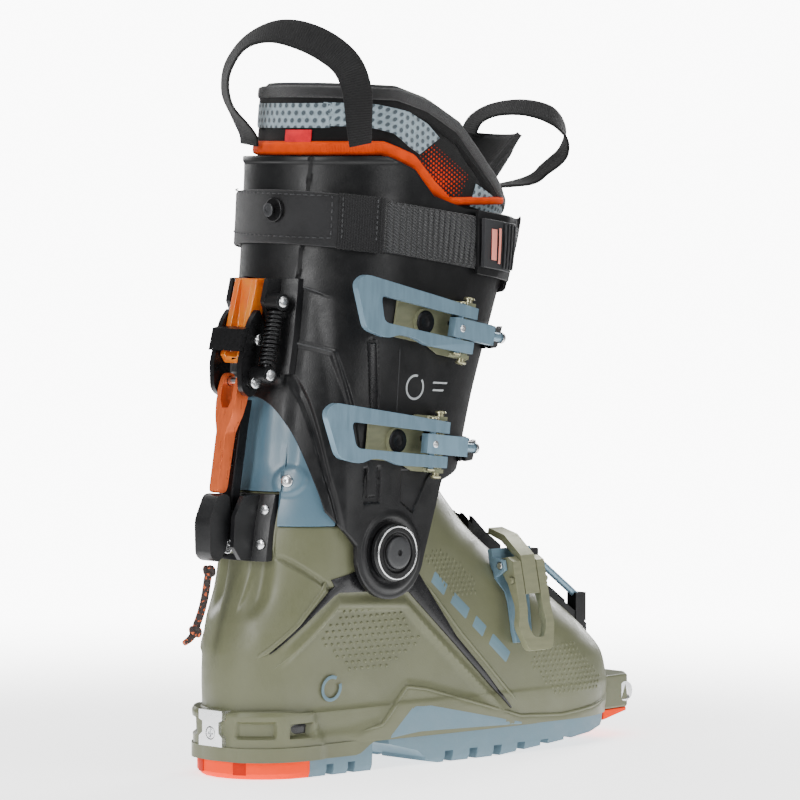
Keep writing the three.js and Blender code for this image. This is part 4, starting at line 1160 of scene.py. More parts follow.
CUFF_STEP = [(14.8, 263), (30, 261), (42, 253.7), (70, 246)]
CUFF_SHOULDER = [(21.7, 246.6), (19.5, 232.7), (42.8, 223.6), (48.6, 195.4), (52, 168)]
CUFF_REAR_STEP = [(10.7, 221), (26.5, 215.6), (29.9, 199), (36, 160), (46, 112)]


def cuff_relief(p):
    x, y, z = p[..., 0], p[..., 1], p[..., 2]
    wide = smooth((np.abs(y) - 20) / 8)
    spine = (1 - smooth((np.abs(y) - 20 - (z - 250) * 0.06) / 1.6)) * smooth((60 - x) / 10)
    relief = 1.9 * spine * smooth((z - 205) / 6)
    relief = relief - 1.5 * band(distance_to([(61.9, 228), (62.9, 193)], x, z), 0, 4.4, 0.9) * wide
    step = line_height(CUFF_STEP, x) - z
    relief = relief - 1.5 * smooth(step / 1.2) * smooth((46 - x) / 8) * wide
    shoulder = distance_to(CUFF_SHOULDER, x, z)
    relief = relief + 1.3 * band(shoulder, 0, 1.2, 1.4) * wide
    rear = distance_to(CUFF_REAR_STEP, x, z)
    relief = relief - 1.5 * band(rear, 0, 1.4, 1.4) * wide
    disc = np.hypot(x - PIVOT_X, z - PIVOT_Z)
    relief = relief + 0.8 * band(disc, 19.5, 2.0, 1.4) * wide
    # A slot above the pivot with a tongue in it, and a sunk field ahead of it.
    slot = band(x, 62.2, 11.5, 0.8) * band(z, 153, 18, 0.8)
    tongue = band(x, 62.2, 5.5, 0.8) * (z > 147)
    relief = relief - 1.6 * slot * (1 - tongue) * wide
    ahead = inside_outline([(83, 160), (83.5, 143), (92.5, 137), (103, 155), (108, 160)], x, z)
    relief = relief - 0.9 * ahead * wide * smooth((x - 83) / 1.2)
    overlap = smooth((x - 130) / 6) * smooth((15 - y) / 1.5) * smooth((y + 30) / 20)
    relief = relief + 1.4 * overlap
    relief = relief + 0.8 * (1 - smooth((np.abs(z - CUFF_RIM) - 2.5) / 1.5))
    return relief


def make_cuff():
    outer, inner = skin_wall(CUFF_LEVELS, CUFF_WALL, cuff_keep, 250, 88, 328, cuff_relief, 230)
    points, faces, uv = thick_grid(outer, inner, ring=True)
    piece("boot_cuff", points, faces, "black_plastic", "cuff", ("cuff",), "black_plastic", uv)
    both_sides(cuff_trim)
    rear_plate("cuff_spine_label", CUFF_LEVELS, -15, 12, 264, 285, 1.55, "grey_plastic", "cuff")
    rear_plate("cuff_spine_strip", CUFF_LEVELS, -17.5, -4, 255, 262, 1.6, "pale_plastic", "cuff")


def rear_plate(name, levels, y0, y1, z0, z1, lift, material, body, depth=0.8):
    """A thin plate on a skin's rear, between two Y and two heights."""
    y, z = np.meshgrid(np.linspace(y1, y0, 24), np.linspace(z0, z1, 8))
    grids = [rear_point(levels, y, z, lift - cut) for cut in (0, depth)]
    points, faces, uv = thick_grid(*grids, ring=False)
    return piece(name, points, faces, material, body, uv=uv)


def rear_point(levels, y, z, offset=0.0):
    """The point of a skin's rear at that Y and height."""
    rear, _, half_rear, _, cap_rear, _ = level_at(levels, z)
    k = np.clip(np.abs(y) / (half_rear + offset), 0, 0.999)
    x = rear - offset + (cap_rear + offset) * (1 - np.sqrt(1 - k * k))
    return np.stack([x, y, z], -1)


def cuff_trim(word, side):
    name = f"cuff_{word}"
    skin = (CUFF_LEVELS, side)
    # The grey beads along the step, shoulder and front creases are painted highlights on the cuff's ridges.
    bead(f"{name}_step_highlight", *skin, CUFF_STEP[:3], 0.45, "grey_plastic", "cuff", sink=0.25)
    bead(f"{name}_shoulder_highlight", *skin, CUFF_SHOULDER, 0.5, "grey_plastic", "cuff", sink=-0.2)
    side_strip(f"{name}_slot", *skin, [(59.6, 228), (60.6, 193)], [(64.2, 228), (65.2, 193)], -0.5, 0.4,
               "black_slit", "cuff")
    bead(f"{name}_front_highlight", *skin, [(80, 226), (79, 190)], 0.3, "grey_plastic", "cuff", sink=0.1)
    if side == LATERAL:
        ring_patch(f"{name}_mark_ring", *skin, (92, 203.8), 5.2, 7.2, 70, 400, 0.15, "grey_print", "cuff")
        for k, (low, high) in enumerate([(205, 204.2), (201, 200.4)]):
            lower = [(105, low), (117 - 3 * k, high)]
            upper = [(x, z + 1.6) for x, z in lower]
            side_strip(f"{name}_mark_bar_{k}", *skin, lower, upper, 0.15, 0.3, "grey_print", "cuff", 12, 3)


# ---------- rear panel of the ankle ----------

PANEL_FACE = -4.2  # from the cuff's outside, so the panel lies under the cuff
PANEL_WALL = 3
PANEL_RIVET = (24.5, 156.0)


def make_achilles_panel():
    """Blue panel with upright flutes; it bends where the cuff turns on the shell."""
    side = [(-20, 132.4), (45.5, 132.4), (45.5, 152), (62, 156), (62, 218), (-20, 218)]

    def keep(p):
        middle = (np.abs(p[..., 1]) < 21.4) & (p[..., 2] < 150.35)
        return inside_outline(side, p[..., 0], p[..., 2]) & ~middle

    u = np.linspace(0.42, -0.42, 220)
    low, high = trim_heights(CUFF_LEVELS, u, PANEL_FACE, keep, 175, 130, 218)
    share = np.linspace(0, 1, 70)[:, None]
    heights = low + (high - low) * share
    outer = skin_point(CUFF_LEVELS, u, heights, PANEL_FACE)
    inner = skin_point(CUFF_LEVELS, u, heights, PANEL_FACE - PANEL_WALL)
    y, z = outer[..., 1], outer[..., 2]
    flute = np.sin((np.abs(y) - 4) / 3.6) * band(np.abs(y), 14, 22, 6) * smooth((z - 156) / 10)
    boss = np.hypot(np.abs(y) - PANEL_RIVET[0], z - PANEL_RIVET[1])
    lobe = 1.6 * (1 - smooth((boss - 6) / 3))
    outer = outer + surface_normals(outer) * (0.9 * flute + lobe)[..., None]
    points, faces, uv = thick_grid(outer, inner, ring=False)
    panel = piece("ankle_panel", points, faces, "blue_plastic", None, ("achilles_panel",), "blue_plastic", uv)
    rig.blend(panel, "shell", "cuff", framed([20, 0, 152])[0], framed([20, 0, 205])[0])


# ---------- liner ----------

COLLAR_SIDE = [(0, 205.35), (200, 205.35), (240, 260), (240, 288), (190, 298), (172, 305), (150, 322),
               (128, 344), (106, 355), (84, 361), (40, 363), (0, 363)]
TONGUE_SIDE = [(134, 212), (240, 212), (240, 322), (222, 335), (206, 337), (186, 326), (150, 306), (128, 270)]


def soft_wall(name, levels, wall, outline, middle, low, high, relief, nodes, u, rows, ring):
    """A padded wall on the cuff with a rolled rim, trimmed by an outline in X and Z."""

    def keep(p):
        return inside_outline(outline, p[..., 0], p[..., 2])

    bottom, top = trim_heights(levels, u, 0, keep, middle, low, high)
    share = np.linspace(0, 1, rows)[:, None]
    heights = bottom + (top - bottom) * share
    outer = skin_point(levels, u, heights)
    inner = skin_point(levels, u, heights, -wall)
    normal = surface_normals(outer)
    outer = outer + normal * relief(outer, top - heights)[..., None]
    roll = np.array([(0.12, 0.0), (0.5, 0.32), (0.88, 0.0)])
    rim = [outer[-1] * (1 - a) + inner[-1] * a + np.array([0, 0, wall * up]) for a, up in roll]
    outer = np.concatenate([outer, np.stack(rim[:2])])
    inner = np.concatenate([inner, np.stack([rim[2], rim[1]])])
    points, faces, uv = thick_grid(outer, inner, ring)
    obj = piece(name, points, faces, "liner_cloth", "cuff", nodes, "liner_cloth", uv, sharp=70)
    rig.padded(obj, 0.8)


def liner_relief(p, below_rim):
    x, z = p[..., 0], p[..., 2]
    relief = 0.9 * smooth((below_rim - 1) / 4) * (1 - smooth((below_rim - 9) / 3))
    seam = band(below_rim, 11.5, 0.6, 1.2)
    wrinkle = 0.35 * np.sin(z / 5.5 + np.sin(x / 17.0) * 1.5) * np.sin(x / 9.0 + z / 14.0)
    return relief - 1.0 * seam + wrinkle * smooth((below_rim - 6) / 8)


def make_liner():
    around = np.linspace(1, -1, 420, endpoint=False)
    soft_wall("liner_collar", LINER_LEVELS, LINER_WALL, COLLAR_SIDE, 270, 205, 364, liner_relief,
              ("liner_leg",), around, 110, True)
    make_tongue()
    neck = np.linspace(1, -1, 200, endpoint=False)
    heights = np.linspace(136, 204, 30)[:, None] * np.ones(200)
    outer = skin_point(LINER_LEVELS, neck, heights)
    outer += surface_normals(outer) * (0.6 * np.sin(heights / 3.2))[..., None]
    inner = skin_point(LINER_LEVELS, neck, heights, -LINER_WALL)
    points, faces, uv = thick_grid(outer, inner, ring=True)
    ankle = piece("liner_flex_zone", points, faces, "liner_cloth", None, ("liner_ankle",), "liner_cloth", uv)
    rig.blend(ankle, "shell", "cuff", framed([76, 0, 137])[0], framed([76, 0, 203])[0])
    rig.padded(ankle, 0.7)
    both_sides(liner_trim)
    rear_plate("liner_mesh_rear", LINER_LEVELS, -28, 28, 341, 354, 1.15, "mesh_cloth", "cuff", 0.6)
    rear_plate("liner_tab", LINER_LEVELS, -20, -4.5, 328, 340, 1.7, "red_tab", "cuff", 0.5)


def tongue_relief(p, below_rim):
    y, z = p[..., 1], p[..., 2]
    return 0.8 * np.sin(z / 9.0) * band(y, 4, 26, 14) + 0.6 * band(below_rim, 4, 4, 4)


def make_tongue():
    """The tongue fills the collar's front, from one u on the medial side to the same on the lateral."""
    around = np.linspace(1, -1, 360, endpoint=False)
    reach = skin_point(TONGUE_LEVELS, around, 285.0)
    front = inside_outline(TONGUE_SIDE, reach[..., 0], reach[..., 2])
    half = np.linspace(around[front & (around > 0)].min(), 0.9999, 70)
    soft_wall("liner_tongue_pad", TONGUE_LEVELS, TONGUE_WALL, TONGUE_SIDE, 290, 212, 340, tongue_relief,
              ("liner_tongue",), np.concatenate([half, -half[::-1]]), 70, False)


def liner_trim(word, side):
    name = f"liner_{word}"
    skin = (LINER_LEVELS, side)
    upper = [(50, 354.5), (70, 353.5), (90, 349.5), (104, 343), (113, 335.5)]
    lower = [(50, 342), (66, 341.5), (80, 338), (90, 331), (98, 327)]
    side_strip(f"{name}_mesh", *skin, lower, upper, 1.15, 0.6, "mesh_cloth", "cuff", along=60, across=14)
    lower = [(136, 299), (158, 294), (176, 291.5)]
    upper = [(141, 311), (162, 302), (183, 296.5)]
    side_strip(f"{name}_mesh_front", *skin, lower, upper, 1.1, 0.6, "mesh_cloth", "cuff", along=30, across=10)
    print_dots(f"{name}_print", *skin)


SMALLEST_DOT = 0.15


def print_dots(name, levels, side):
    """A patch of orange print dots that shrink towards its edge."""
    centre = np.array([112, 312.5])
    pitch, rise, half_length, half_height = 2.3, 2.1, 20, 16
    points, faces = [], []
    turn = math.radians(-32)
    along = np.array([math.cos(turn), math.sin(turn)])
    up = np.array([-math.sin(turn), math.cos(turn)])
    ring = np.linspace(0, 2 * math.pi, 7)[:-1]
    for row in range(-7, 8):
        for column in range(-9, 10):
            a, b = (column + 0.5 * (row % 2)) * pitch, row * rise
            fade = max(abs(a) / half_length, abs(b) / half_height)
            radius = 0.92 * max(0, 1 - fade) ** 0.5
            if radius < SMALLEST_DOT:
                continue
            x, z = centre + along * a + up * b
            start = len(points)
            edge = side_point(levels, side, x + radius * np.cos(ring), z + radius * np.sin(ring), 0.75)
            points.extend(edge.tolist())
            loop = [start + i for i in range(6)]
            faces.append(loop if side == LATERAL else loop[::-1])
    piece(name, points, faces, "orange_rubber", "cuff")


PIPING_LOW = [(10, 326.5), (72.5, 326.5), (91, 319.6), (105, 305.8), (118, 299.6)]
PIPING_HIGH = [(10, 334), (74, 334), (94, 327), (109, 313), (120, 304)]


def on_line(levels, u, line, offset):
    """The skin's height where a line in X and Z crosses each u."""
    z = np.full(u.shape, 320.0)
    for _ in range(12):
        x = skin_point(levels, u, z, offset)[..., 0]
        z = 0.5 * z + 0.5 * line_height(line, x)
    return z


def rim_band(name, levels, end, low_line, high_line, thick, material, nodes=(), slot=None):
    """A rounded band sewn on a skin between two lines in X and Z, from one end u to the other."""
    u = np.linspace(end, -end, 340)
    low, high = (on_line(levels, u, line, 1) for line in (low_line, high_line))
    share = np.linspace(0, 1, 11)[:, None]
    heights = low + (high - low) * share
    middle = skin_point(levels, u, heights)
    swell = thick * np.sqrt(np.clip(1 - (2 * share - 1) ** 4, 0, 1)) * np.ones(heights.shape)
    outer = middle + surface_normals(middle) * (0.3 + swell)[..., None]
    inner = skin_point(levels, u, heights, -0.4)
    points, faces, uv = thick_grid(outer, inner, ring=False)
    piece(name, points, faces, material, "cuff", nodes, slot, uv, sharp=75)


def make_bands():
    """The orange bound edge along the cuff's rim and the black binding on the collar's rim."""
    rim_band("liner_piping_edge", LINER_LEVELS, 0.745, PIPING_LOW, PIPING_HIGH, 2.3, "piping_cloth",
             ("liner_piping",), "piping_cloth")
    collar = COLLAR_SIDE[-2:2:-1]
    above = [(x, z + 0.6) for x, z in collar]
    below = [(x - 2.5, z - 6) for x, z in collar]
    rim_band("liner_binding", LINER_LEVELS, 0.93, below, above, 1.7, "binding_cloth", slot="liner_cloth")


def stitches(name, path, lift, length, gap):
    """A row of thread stitches along a path of u and height on the strap."""
    fine = resample(path, 400)
    places = skin_point(CUFF_LEVELS, fine[:, 0], fine[:, 1], lift)
    reach = travelled(places)
    starts = np.arange(0.5, reach[-1] - length, length + gap)
    points, faces = [], []
    profile = [(-0.5, 0.35), (-0.3, 1), (0.3, 1), (0.5, 0.35)]
    for start in starts:
        steps = (start, start + length)
        ends = np.array([[np.interp(at, reach, places[:, k]) for k in range(3)] for at in steps])
        along = (ends[1] - ends[0]) / length
        out = np.cross(along, [0, 0, 1]) if abs(along[2]) < 0.9 else np.cross(along, [0, 1, 0])
        out /= np.linalg.norm(out)
        wide = np.cross(out, along)
        middle = (ends[0] + ends[1]) / 2
        first = len(points)
        for share, size in profile:
            for turn in range(6):
                angle = turn * math.pi / 3
                points.append(middle + along * share * length + size * 0.38 * (
                    out * math.cos(angle) * 0.8 + wide * math.sin(angle)))
        for j in range(3):
            for i in range(6):
                k = (i + 1) % 6
                faces.append([first + j * 6 + step for step in (i, k, 6 + k, 6 + i)])
        faces.append([first + i for i in range(6)][::-1])
        faces.append([first + 18 + i for i in range(6)])
    piece(name, points, faces, "thread", "cuff", slot="webbing", sharp=70)


def smooth_path(points, count):
    """A Catmull-Rom curve through points, resampled to even steps."""
    points = np.array(points, float)
    padded = np.concatenate([[2 * points[0] - points[1]], points, [2 * points[-1] - points[-2]]])
    fine = []
    for i in range(1, len(padded) - 2):
        a, b, c, d = padded[i - 1:i + 3]
        for t in np.linspace(0, 1, 16, endpoint=False):
            fine.append(0.5 * (2 * b + (c - a) * t + (2 * a - 5 * b + 4 * c - d) * t ** 2
                               + (3 * b - a - 3 * c + d) * t ** 3))
    fine.append(points[-1])
    return resample(fine, count)


def frames_along(path, side=(0, 0, 1)):
    """Tangents and two cross directions along a path, the first near the given side."""
    tangent = np.gradient(path, axis=0)
    tangent /= np.linalg.norm(tangent, axis=1, keepdims=True)
    side = np.broadcast_to(np.asarray(side, float), path.shape)
    wide = side - (side * tangent).sum(1, keepdims=True) * tangent
    wide /= np.linalg.norm(wide, axis=1, keepdims=True)
    return tangent, wide, np.cross(tangent, wide)


def swept(rings, line, near, far):
    """Faces and surface coordinates of rings along a line, with both ends capped."""
    count, sides = rings.shape[:2]
    faces = grid_faces(count, sides, ring=True).tolist()
    faces += [list(range(sides))[::-1], [(count - 1) * sides + i for i in range(sides)]]
    length = travelled(line)
    j, i = np.meshgrid(np.arange(count - 1), np.arange(sides), indexing="ij")
    corners = [(length[j], near[i]), (length[j], far[i]), (length[j + 1], far[i]), (length[j + 1], near[i])]
    uv = np.stack([np.stack(c, -1) for c in corners], 2).reshape(-1, 2)
    return faces, np.concatenate([uv, np.zeros((2 * sides, 2))])


def tube(path, radius, name, material, body, nodes=(), slot=None, count=60, sides=14, side=(0, 0, 1)):
    """A closed round tube along a path."""
    path = resample(path, count)
    _, wide, deep = frames_along(path, side)
    turns = np.linspace(0, 2 * math.pi, sides, endpoint=False)
    size = np.broadcast_to(np.asarray(radius, float), (count,))[:, None, None]
    offsets = wide[:, None] * np.cos(turns)[None, :, None] + deep[:, None] * np.sin(turns)[None, :, None]
    rings = path[:, None] + offsets * size
    reach = float(np.max(radius))
    faces, uv = swept(rings, path, reach * (turns - math.pi), reach * (turns + turns[1] - math.pi))
    return piece(name, rings, faces, material, body, nodes, slot, uv, sharp=60)


RIBBON_HALF = [(-1, 0.35), (-0.96, 0.85), (-0.85, 1), (-0.4, 1), (0, 1), (0.4, 1), (0.85, 1), (0.96, 0.85),
               (1, 0.35)]
RIBBON_SECTION = RIBBON_HALF + [(u, -v) for u, v in RIBBON_HALF[::-1]]


def ribbon(path, across, width, thickness, name, nodes, count=120):
    """Flat webbing along a path with soft edges; across gives its width's direction at each point."""
    line = smooth_path(path, count)
    _, wide, out = frames_along(line, smooth_path(across, count))
    half, thick = width / 2, thickness / 2
    rings = np.stack([line + wide * half * u + out * thick * v for u, v in RIBBON_SECTION], 1)
    place = np.array([u * half for u, _ in RIBBON_SECTION])
    faces, uv = swept(rings, line, place, np.roll(place, -1))
    faces = [face[::-1] for face in faces]
    corners = 4 * (len(faces) - 2)
    uv[:corners] = uv[:corners].reshape(-1, 4, 2)[:, ::-1].reshape(-1, 2)
    return piece(name, rings, faces, "webbing", "cuff", nodes, "webbing", uv, sharp=75)


def make_loops():
    rear = [(53, -49.4, 332), (51.5, -50, 344), (50, -49.5, 362), (47, -43, 376), (38, -29, 387),
            (28, -12, 391.5), (20, 3, 386), (15, 12, 372), (19, 17, 357), (31, 20, 345), (37.5, 21, 337.5),
            (39, 21.4, 332)]
    rear_across = [(1, 0.1, 0), (1, -0.05, 0), (1, -0.3, 0.15), (0.6, -0.3, 0.45), (0.5, 0, 0.6),
                   (0.7, 0.4, 0.55), (0.4, 0.9, 0.5), (0.2, 1, 0.2)] + [(0.2, 1, 0)] * 4
    front = [(201, 20, 338), (206, 18, 346), (216, 13, 351), (231, 5, 352), (245, -2, 347.5), (252, -5, 338),
             (250, -5, 327), (240, -2, 318), (228, 2, 311)]
    front += [tuple(skin_point(TONGUE_LEVELS, 0.999, z, 0.8) + (0, 4, 0)) for z in (306.0, 298.0)]
    front_across = [(0.2, 0.9, 0.3), (0.3, 0.8, 0.3), (0.35, 0.65, 0.5), (0.4, 0.5, 0.75), (0.5, 0.7, 0.4),
                    (0.3, 1, 0), (0.1, 1, 0), (0.1, 1, 0), (0, 1, 0), (0, 1, 0), (0, 1, 0)]
    ribbon(rear, rear_across, 17, 1.6, "loop_rear", ("rear_pull_loop",))
    ribbon(front, front_across, 14, 1.6, "loop_front", ("front_pull_loop",))


# ---------- power strap ----------

def strap_height(x):
    """The strap's upper edge, which falls towards the toe."""
    return 312 - 0.135 * x


STRAP_ROWS = 30
FLAP_FACE = STRAP_LIFT + STRAP_THICK + 0.35 + 2.8


def strap_span(name, u0, u1, lift, thick, top, bottom, material, nodes=(), slot=None, ribs=0.0, count=300):
    """A length of the strap round the cuff between two u, from top to bottom millimetres below its edge."""
    u = np.linspace(u0, u1, count)
    share = np.linspace(0, 1, STRAP_ROWS)[:, None]
    flat = skin_point(CUFF_LEVELS, u, 298.0, lift)
    edge = strap_height(flat[:, 0])
    heights = edge - bottom + (bottom - top) * share
    swell = np.zeros(heights.shape)
    outer = skin_point(CUFF_LEVELS, u, heights, lift)
    inner = skin_point(CUFF_LEVELS, u, heights, lift - thick)
    if ribs:
        swell += 0.75 * np.abs(np.sin(travelled(outer[STRAP_ROWS // 2]) * math.pi / ribs))
    swell[0] = swell[-1] = -0.5
    outer = outer + surface_normals(outer) * swell[..., None]
    points, faces, uv = thick_grid(outer, inner, ring=False)
    return piece(name, points, faces, material, "cuff", nodes, slot, uv, sharp=70)


def make_strap():
    lift = STRAP_LIFT
    strap_span("strap_band", 0.92, -0.93, lift, STRAP_THICK, 0, STRAP_WIDTH, "strap_webbing",
               ("power_strap",), "webbing", ribs=STRAP_RIB, count=900)
    strap_span("strap_patch", 0.22, -0.165, lift + 0.9, 1.6, -0.6, 27.6, "patch", count=160)
    strap_span("strap_twill", -0.165, -0.25, lift + 1.4, 1.9, -1.2, 28.2, "twill", slot="webbing", count=60)
    strap_span("strap_fold", -0.25, -0.257, lift + 1.9, 2.2, -1.2, 28.2, "twill", count=8)
    strap_span("strap_front_flap", -0.80, -0.985, lift + 1.2, 1.4, -6, 34, "patch", count=80)
    rear, side = strap_height(10), strap_height(30)
    box = [(0.2, rear - 2.4), (-0.153, side - 2.4), (-0.153, side - 24.6), (0.2, rear - 24.6)]
    box.append(box[0])
    stitches("strap_patch_stitches", box, lift + 1.15, 2.3, 1.5)
    for k, u in enumerate((-0.174, -0.242)):
        top = strap_height(40 + 8 * k)
        stitches(f"strap_twill_stitches_{k}", [(u, top - 1.5), (u, top - 25.5)], lift + 1.7, 1.8, 1)
    dress("black_metal", 0.8, "strap_rivet")
    disc("strap_rivet_ring", (24.6, -9, 298), (-1, 0, 0), 3.6, 0.7, "grey_plastic", "cuff", 0.1, 0.5)
    dress("black_plastic", 0.7, "strap_buckle_frame")
    dress("grey_plastic", 0.6, "strap_buckle_flap")
    strap_bar("mark_0", 139.5, 143.8, 22.5, 6, 0.3, 0.5, "pill_mark")
    strap_bar("mark_1", 145.6, 147.6, 24, 5, 0.3, 0.5, "pill_mark")
    for k in range(4):
        x = 150.5 + 3.3 * k
        strap_bar(f"rib_{k}", x, x + 1.7, 26, 2, 0.9, 1.2, "grey_plastic")


def strap_bar(word, rear, front, bottom, top, lift, depth, material):
    """An upright bar on the strap's flap, between two drops from the strap's edge."""
    lower, upper = ([(x, strap_height(x) - drop) for drop in (bottom, top)] for x in (rear, front))
    side_strip(f"strap_flap_{word}", CUFF_LEVELS, LATERAL, lower, upper, FLAP_FACE + lift, depth, material,
               "strap_flap", along=20)


# ---------- sole and inserts ----------

def make_sole():
    dress("orange_rubber", 0.8, "heel_pad", "toe_pad")
    dress("blue_rubber", 0.7, "heel_lugs", "forefoot_lugs")
    dress("steel", 0.35, "heel_tech_insert", "heel_insert_screw")
    dress("steel", 0.2, "toe_tech_insert_lateral", "toe_tech_insert_medial", angle=50)
    dress("grey_plastic", 0.6, "bootboard")
    dress("liner_rough", 1.0, "liner_foot")
    for k, y in enumerate((-19, 9)):
        rear_plate(f"heel_pad_stripe_{k}", SHELL_LEVELS, y, y + 6, 2.5, 15.4, 0.35, "dark_orange", "shell",
                   0.5)


# ---------- walk mechanism ----------

def make_spring():
    """The coil spring, a helix between its two seats."""
    top, foot = np.array([21, -20, 250.0]), np.array([12, -20, 212.0])
    start, end = top + (foot - top) * 0.13, top + (foot - top) * 0.87
    turns, radius = 13, 3.55
    steps = turns * 18
    along = (end - start) / np.linalg.norm(end - start)
    wide = np.cross(along, [0, 1, 0])
    deep = np.cross(along, wide)
    t = np.linspace(0, 1, steps)
    angle = 2 * math.pi * turns * t
    path = start + (end - start) * t[:, None] + radius * (
        np.cos(angle)[:, None] * wide + np.sin(angle)[:, None] * deep)
    tube(path, 0.85, "spring_coil", "black_metal", "cuff", ("walk_spring",), "black_metal", steps, sides=8,
         side=along)


def disc(name, place, axis, radius, thick, material, body, dome=0.25, hole=0.0, sides=28):
    """A round head: a low dome with a rounded edge, and a hollow in its middle if hole is set."""
    axis = np.array(axis, float) / np.linalg.norm(axis)
    wide = np.cross(axis, [0, 0, 1.0] if abs(axis[2]) < 0.9 else [1.0, 0, 0])
    wide /= np.linalg.norm(wide)
    deep = np.cross(axis, wide)
    top = 1 + dome
    middle = [(hole, top), (hole * 0.85, 0.35), (0.01, 0.3)] if hole else [(0.25, top), (0.01, top)]
    profile = [(1, 0), (1, 0.6), (0.93, 0.86), (0.8, 1.0), (0.5, 1 + dome * 0.7), *middle]
    turns = np.linspace(0, 2 * math.pi, sides, endpoint=False)
    rows = [np.array(place) + axis * thick * up
            + radius * share * (np.cos(turns)[:, None] * wide + np.sin(turns)[:, None] * deep)
            for share, up in profile]
    grid = np.stack(rows)
    return piece(name, grid, grid_faces(*grid.shape[:2], ring=True).tolist(), material, body,
                 uv=grid_uv(grid, True), sharp=50)


def panel_rivet(word, side):
    """A rivet's head on the ankle panel, square to the panel there."""
    near = np.array([(0, 0), (1.5, 0), (0, 2)]) + PANEL_RIVET
    place, ahead, above = (rear_point(CUFF_LEVELS, side * y, z, -2.9) for y, z in near)
    out = np.cross(above - place, ahead - place) * side
    out *= -np.sign(out[0])
    head = disc(f"panel_rivet_head_{word}", place, out, 3.3, 1.5, "steel", "shell", hole=0.3)
    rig.replaces(head, f"panel_rivet_{word}")


def make_walk_mechanism():
    both_sides(panel_rivet)
    dress("black_plastic", 0.6, "heel_bracket")
    dress("black_plastic", 0.7, "walk_tower")
    dress("black_plastic", 1.2, "walk_handle")
    dress("black_metal", 0.6, "walk_fork")
    dress("black_metal", 0.5, "walk_lock_bar")
    dress("orange_translucent", 0.8, "walk_orange_yoke")
    dress("salmon_metal", 0.8, "walk_lever")
    dress("steel", 0.4, "bracket_screw")
    dress("steel", 0.5, "walk_lever_pin", "walk_fork_rivet")
    make_spring()
    disc("spring_bolt_top", (21, -24.2, 250), (0, -1, 0), 3.0, 1.2, "steel", "cuff")
    disc("spring_bolt_foot", (12, -24.2, 212), (0, -1, 0), 3.0, 1.2, "steel", "cuff")
    disc("fork_rivet_head", (13.2, -14.4, 230), (0, -1, 0), 3.0, 1.0, "steel", "cuff")
    disc("lever_pin_head", (10, -14.9, 208), (0, -1, 0), 3.4, 1.2, "steel", "cuff")
    for k, (y, z) in enumerate([(-16, 141), (-16.5, 123), (16, 141), (16.5, 123)]):
        x = rear_point(SHELL_LEVELS, np.array(float(y)), np.array(float(z)), 4)[0]
        disc(f"bracket_rivet_{k}", (x + 0.3, y, z), (-1, y / 60, 0), 2.7, 1.2, "steel", "shell")


# ---------- buckles ----------

def make_buckles():
    for name, x, z, tilt, stand in (("upper", 122, 233, 11, 51.9), ("lower", 104, 173, 6.5, 49.8)):
        dress("olive_metal", 0.5, f"{name}_buckle_base")
        dress("blue_metal", 1.3, f"{name}_lever", angle=40)
        dress("blue_metal", 0.8, f"{name}_adjuster")
        dress("gold_metal", 0.5, f"{name}_lever_pin")
        dress("black_metal", 0.8, f"{name}_hook")
        dress("black_plastic", 0.6, f"{name}_rack")
        lever_details(name, (x, -stand - 5.6, z), math.radians(tilt))
    dress("olive_metal", 1.1, "instep_lever", angle=40)
    dress("olive_metal", 0.9, "instep_bail")
    dress("steel", 0.5, "instep_lever_pin")
    dress("blue_metal", 0.7, "instep_base")
    dress("blue_metal", 0.5, "toe_wire")
    dress("black_plastic", 0.7, "instep_rack", "toe_rack")


def lever_details(name, hinge, tilt):
    """Pin heads, the bail's barrel and the round recess of a cuff buckle, in its own tilted frame."""
    def at(x, y, z):
        cos, sin = math.cos(tilt), math.sin(tilt)
        return (hinge[0] + x * cos + z * sin, hinge[1] + y, hinge[2] - x * sin + z * cos)

    up = np.array(at(0, 0, 1)) - np.array(at(0, 0, 0))
    bail = f"{name}_bail"
    gold = "gold_metal"
    for k, way in enumerate((-1, 1)):
        disc(f"{name}_lever_pin_head_{k}", at(0, 0, 16.6 * way), up * way, 3.0, 1.3, gold, "cuff", hole=0.35)
        disc(f"{bail}_pin_head_{k}", at(-9, -4.8, 13.3 * way), up * way, 2.5, 1.0, gold, bail, hole=0.35)
    disc(f"{name}_base_recess", at(-28, 1.9, 0), (0, -1, 0), 6.2, 0.5, "black_metal", "cuff", 0.05, 0.72)
    ahead = np.array(at(1, 0, 0)) - np.array(at(0, 0, 0))
    disc(f"{bail}_rod_nut", at(21.6, -5, 0), ahead, 3.1, 2.2, "steel", bail, hole=0.4)
    disc(f"{bail}_screw", at(-9, -7.5, 0), (0, -1, 0), 1.9, 0.5, "steel", bail, hole=0.4)


# ---------- pivots ----------

ARM_FACE = 49.1  # the outside of the cuff's arms, from the middle
PIVOT_RING = 13.9


def make_pivots():
    both_sides(pivot)
    dress("steel", 0.4, "pivot_stud_lateral", "pivot_stud_medial")


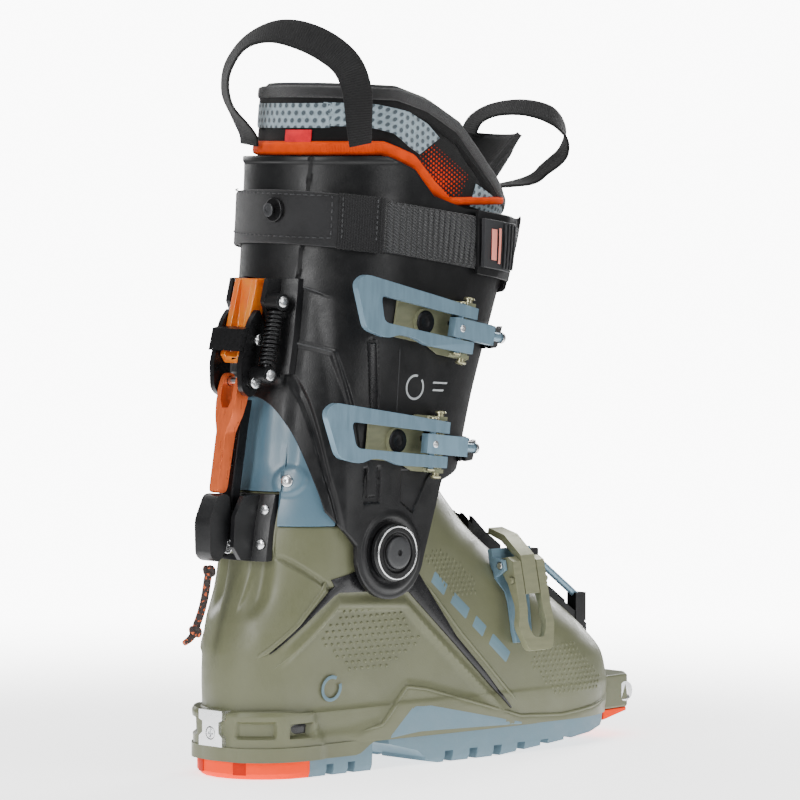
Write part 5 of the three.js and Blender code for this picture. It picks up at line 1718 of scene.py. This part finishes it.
def pivot(word, side):
    dress("black_plastic", 0.4, f"pivot_cap_{word}", angle=20)
    face = side * (ARM_FACE + 0.35)
    turns = np.linspace(0, 2 * math.pi, 64)
    across = np.full(64, face + side * 4.2)
    ring = np.stack([PIVOT_X + PIVOT_RING * np.cos(turns), across, PIVOT_Z + PIVOT_RING * np.sin(turns)], -1)
    tube(ring, 0.5, f"pivot_{word}_ring", "steel", "cuff", count=64, sides=8, side=(0, side, 0))
    centre = (PIVOT_X, face + side * 4.6, PIVOT_Z)
    disc(f"pivot_{word}_core", centre, (0, side, 0), 8.4, 1.4, "grey_plastic", "cuff", 0.1, 0.2)


# ---------- pull cord ----------

CORD_PATH = [(-9.6, 0, 109.2), (-10.8, 0, 104), (-12, 0, 98), (-14, 0, 91), (-16.5, 0, 85), (-18.5, 0, 81),
             (-19.4, 0, 78)]
CORD_TAIL = [(-19.4, 0, 78), (-20, 0, 77.5), (-23, 0, 74.5), (-27, 0, 72.5)]


def make_cord():
    line = smooth_path(CORD_PATH, 40)
    cord = tube(line, 2.1, "pull_cord_run", "cord", "walk_lever", ("pull_cord",), "cord", 40, 12, (0, 1, 0))
    tail = tube(smooth_path(CORD_TAIL, 12), np.linspace(2.1, 1.5, 12), "pull_cord_tail", "cord", "walk_lever",
                count=12, sides=12, side=(0, 1, 0))
    knots = [knot("pull_cord_knot_top", (-9.6, 0, 109.2)), knot("pull_cord_knot_end", (-19.4, 0, 78))]
    length = float(travelled(line)[-1]) * MM
    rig.cord(cord, exit=framed(CORD_PATH[0])[0], length=length, diameter=0.0042, far_end="knot",
            stiffness="limp", lay="hanging", path=framed(line), with_pieces=[tail, *knots])


def knot(name, centre):
    """An overhand knot: a small trefoil of the cord pulled tight."""
    t = np.linspace(0, 2 * math.pi, 90)
    x = np.sin(t) + 2 * np.sin(2 * t)
    y = np.cos(t) - 2 * np.cos(2 * t)
    z = -np.sin(3 * t)
    path = np.stack([y * 0.72, x * 0.72, z * 1.7], -1) + np.array(centre)
    return tube(path, 1.55, name, "cord", "walk_lever", count=90, sides=10)


MATERIALS = make_materials()
CUFF_SIDE = cuff_side()

make_camera()
make_cord()
make_studio()
make_shell()
make_sole()
make_cuff()
make_achilles_panel()
make_liner()
make_bands()
make_loops()
make_strap()
make_walk_mechanism()
make_buckles()
make_pivots()

with open("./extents.json", "w") as report:
    boxes = {"cad": CAD_BOX, "visual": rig.bounds()}
    json.dump({name: [list(corner) for corner in box] for name, box in boxes.items()}, report)
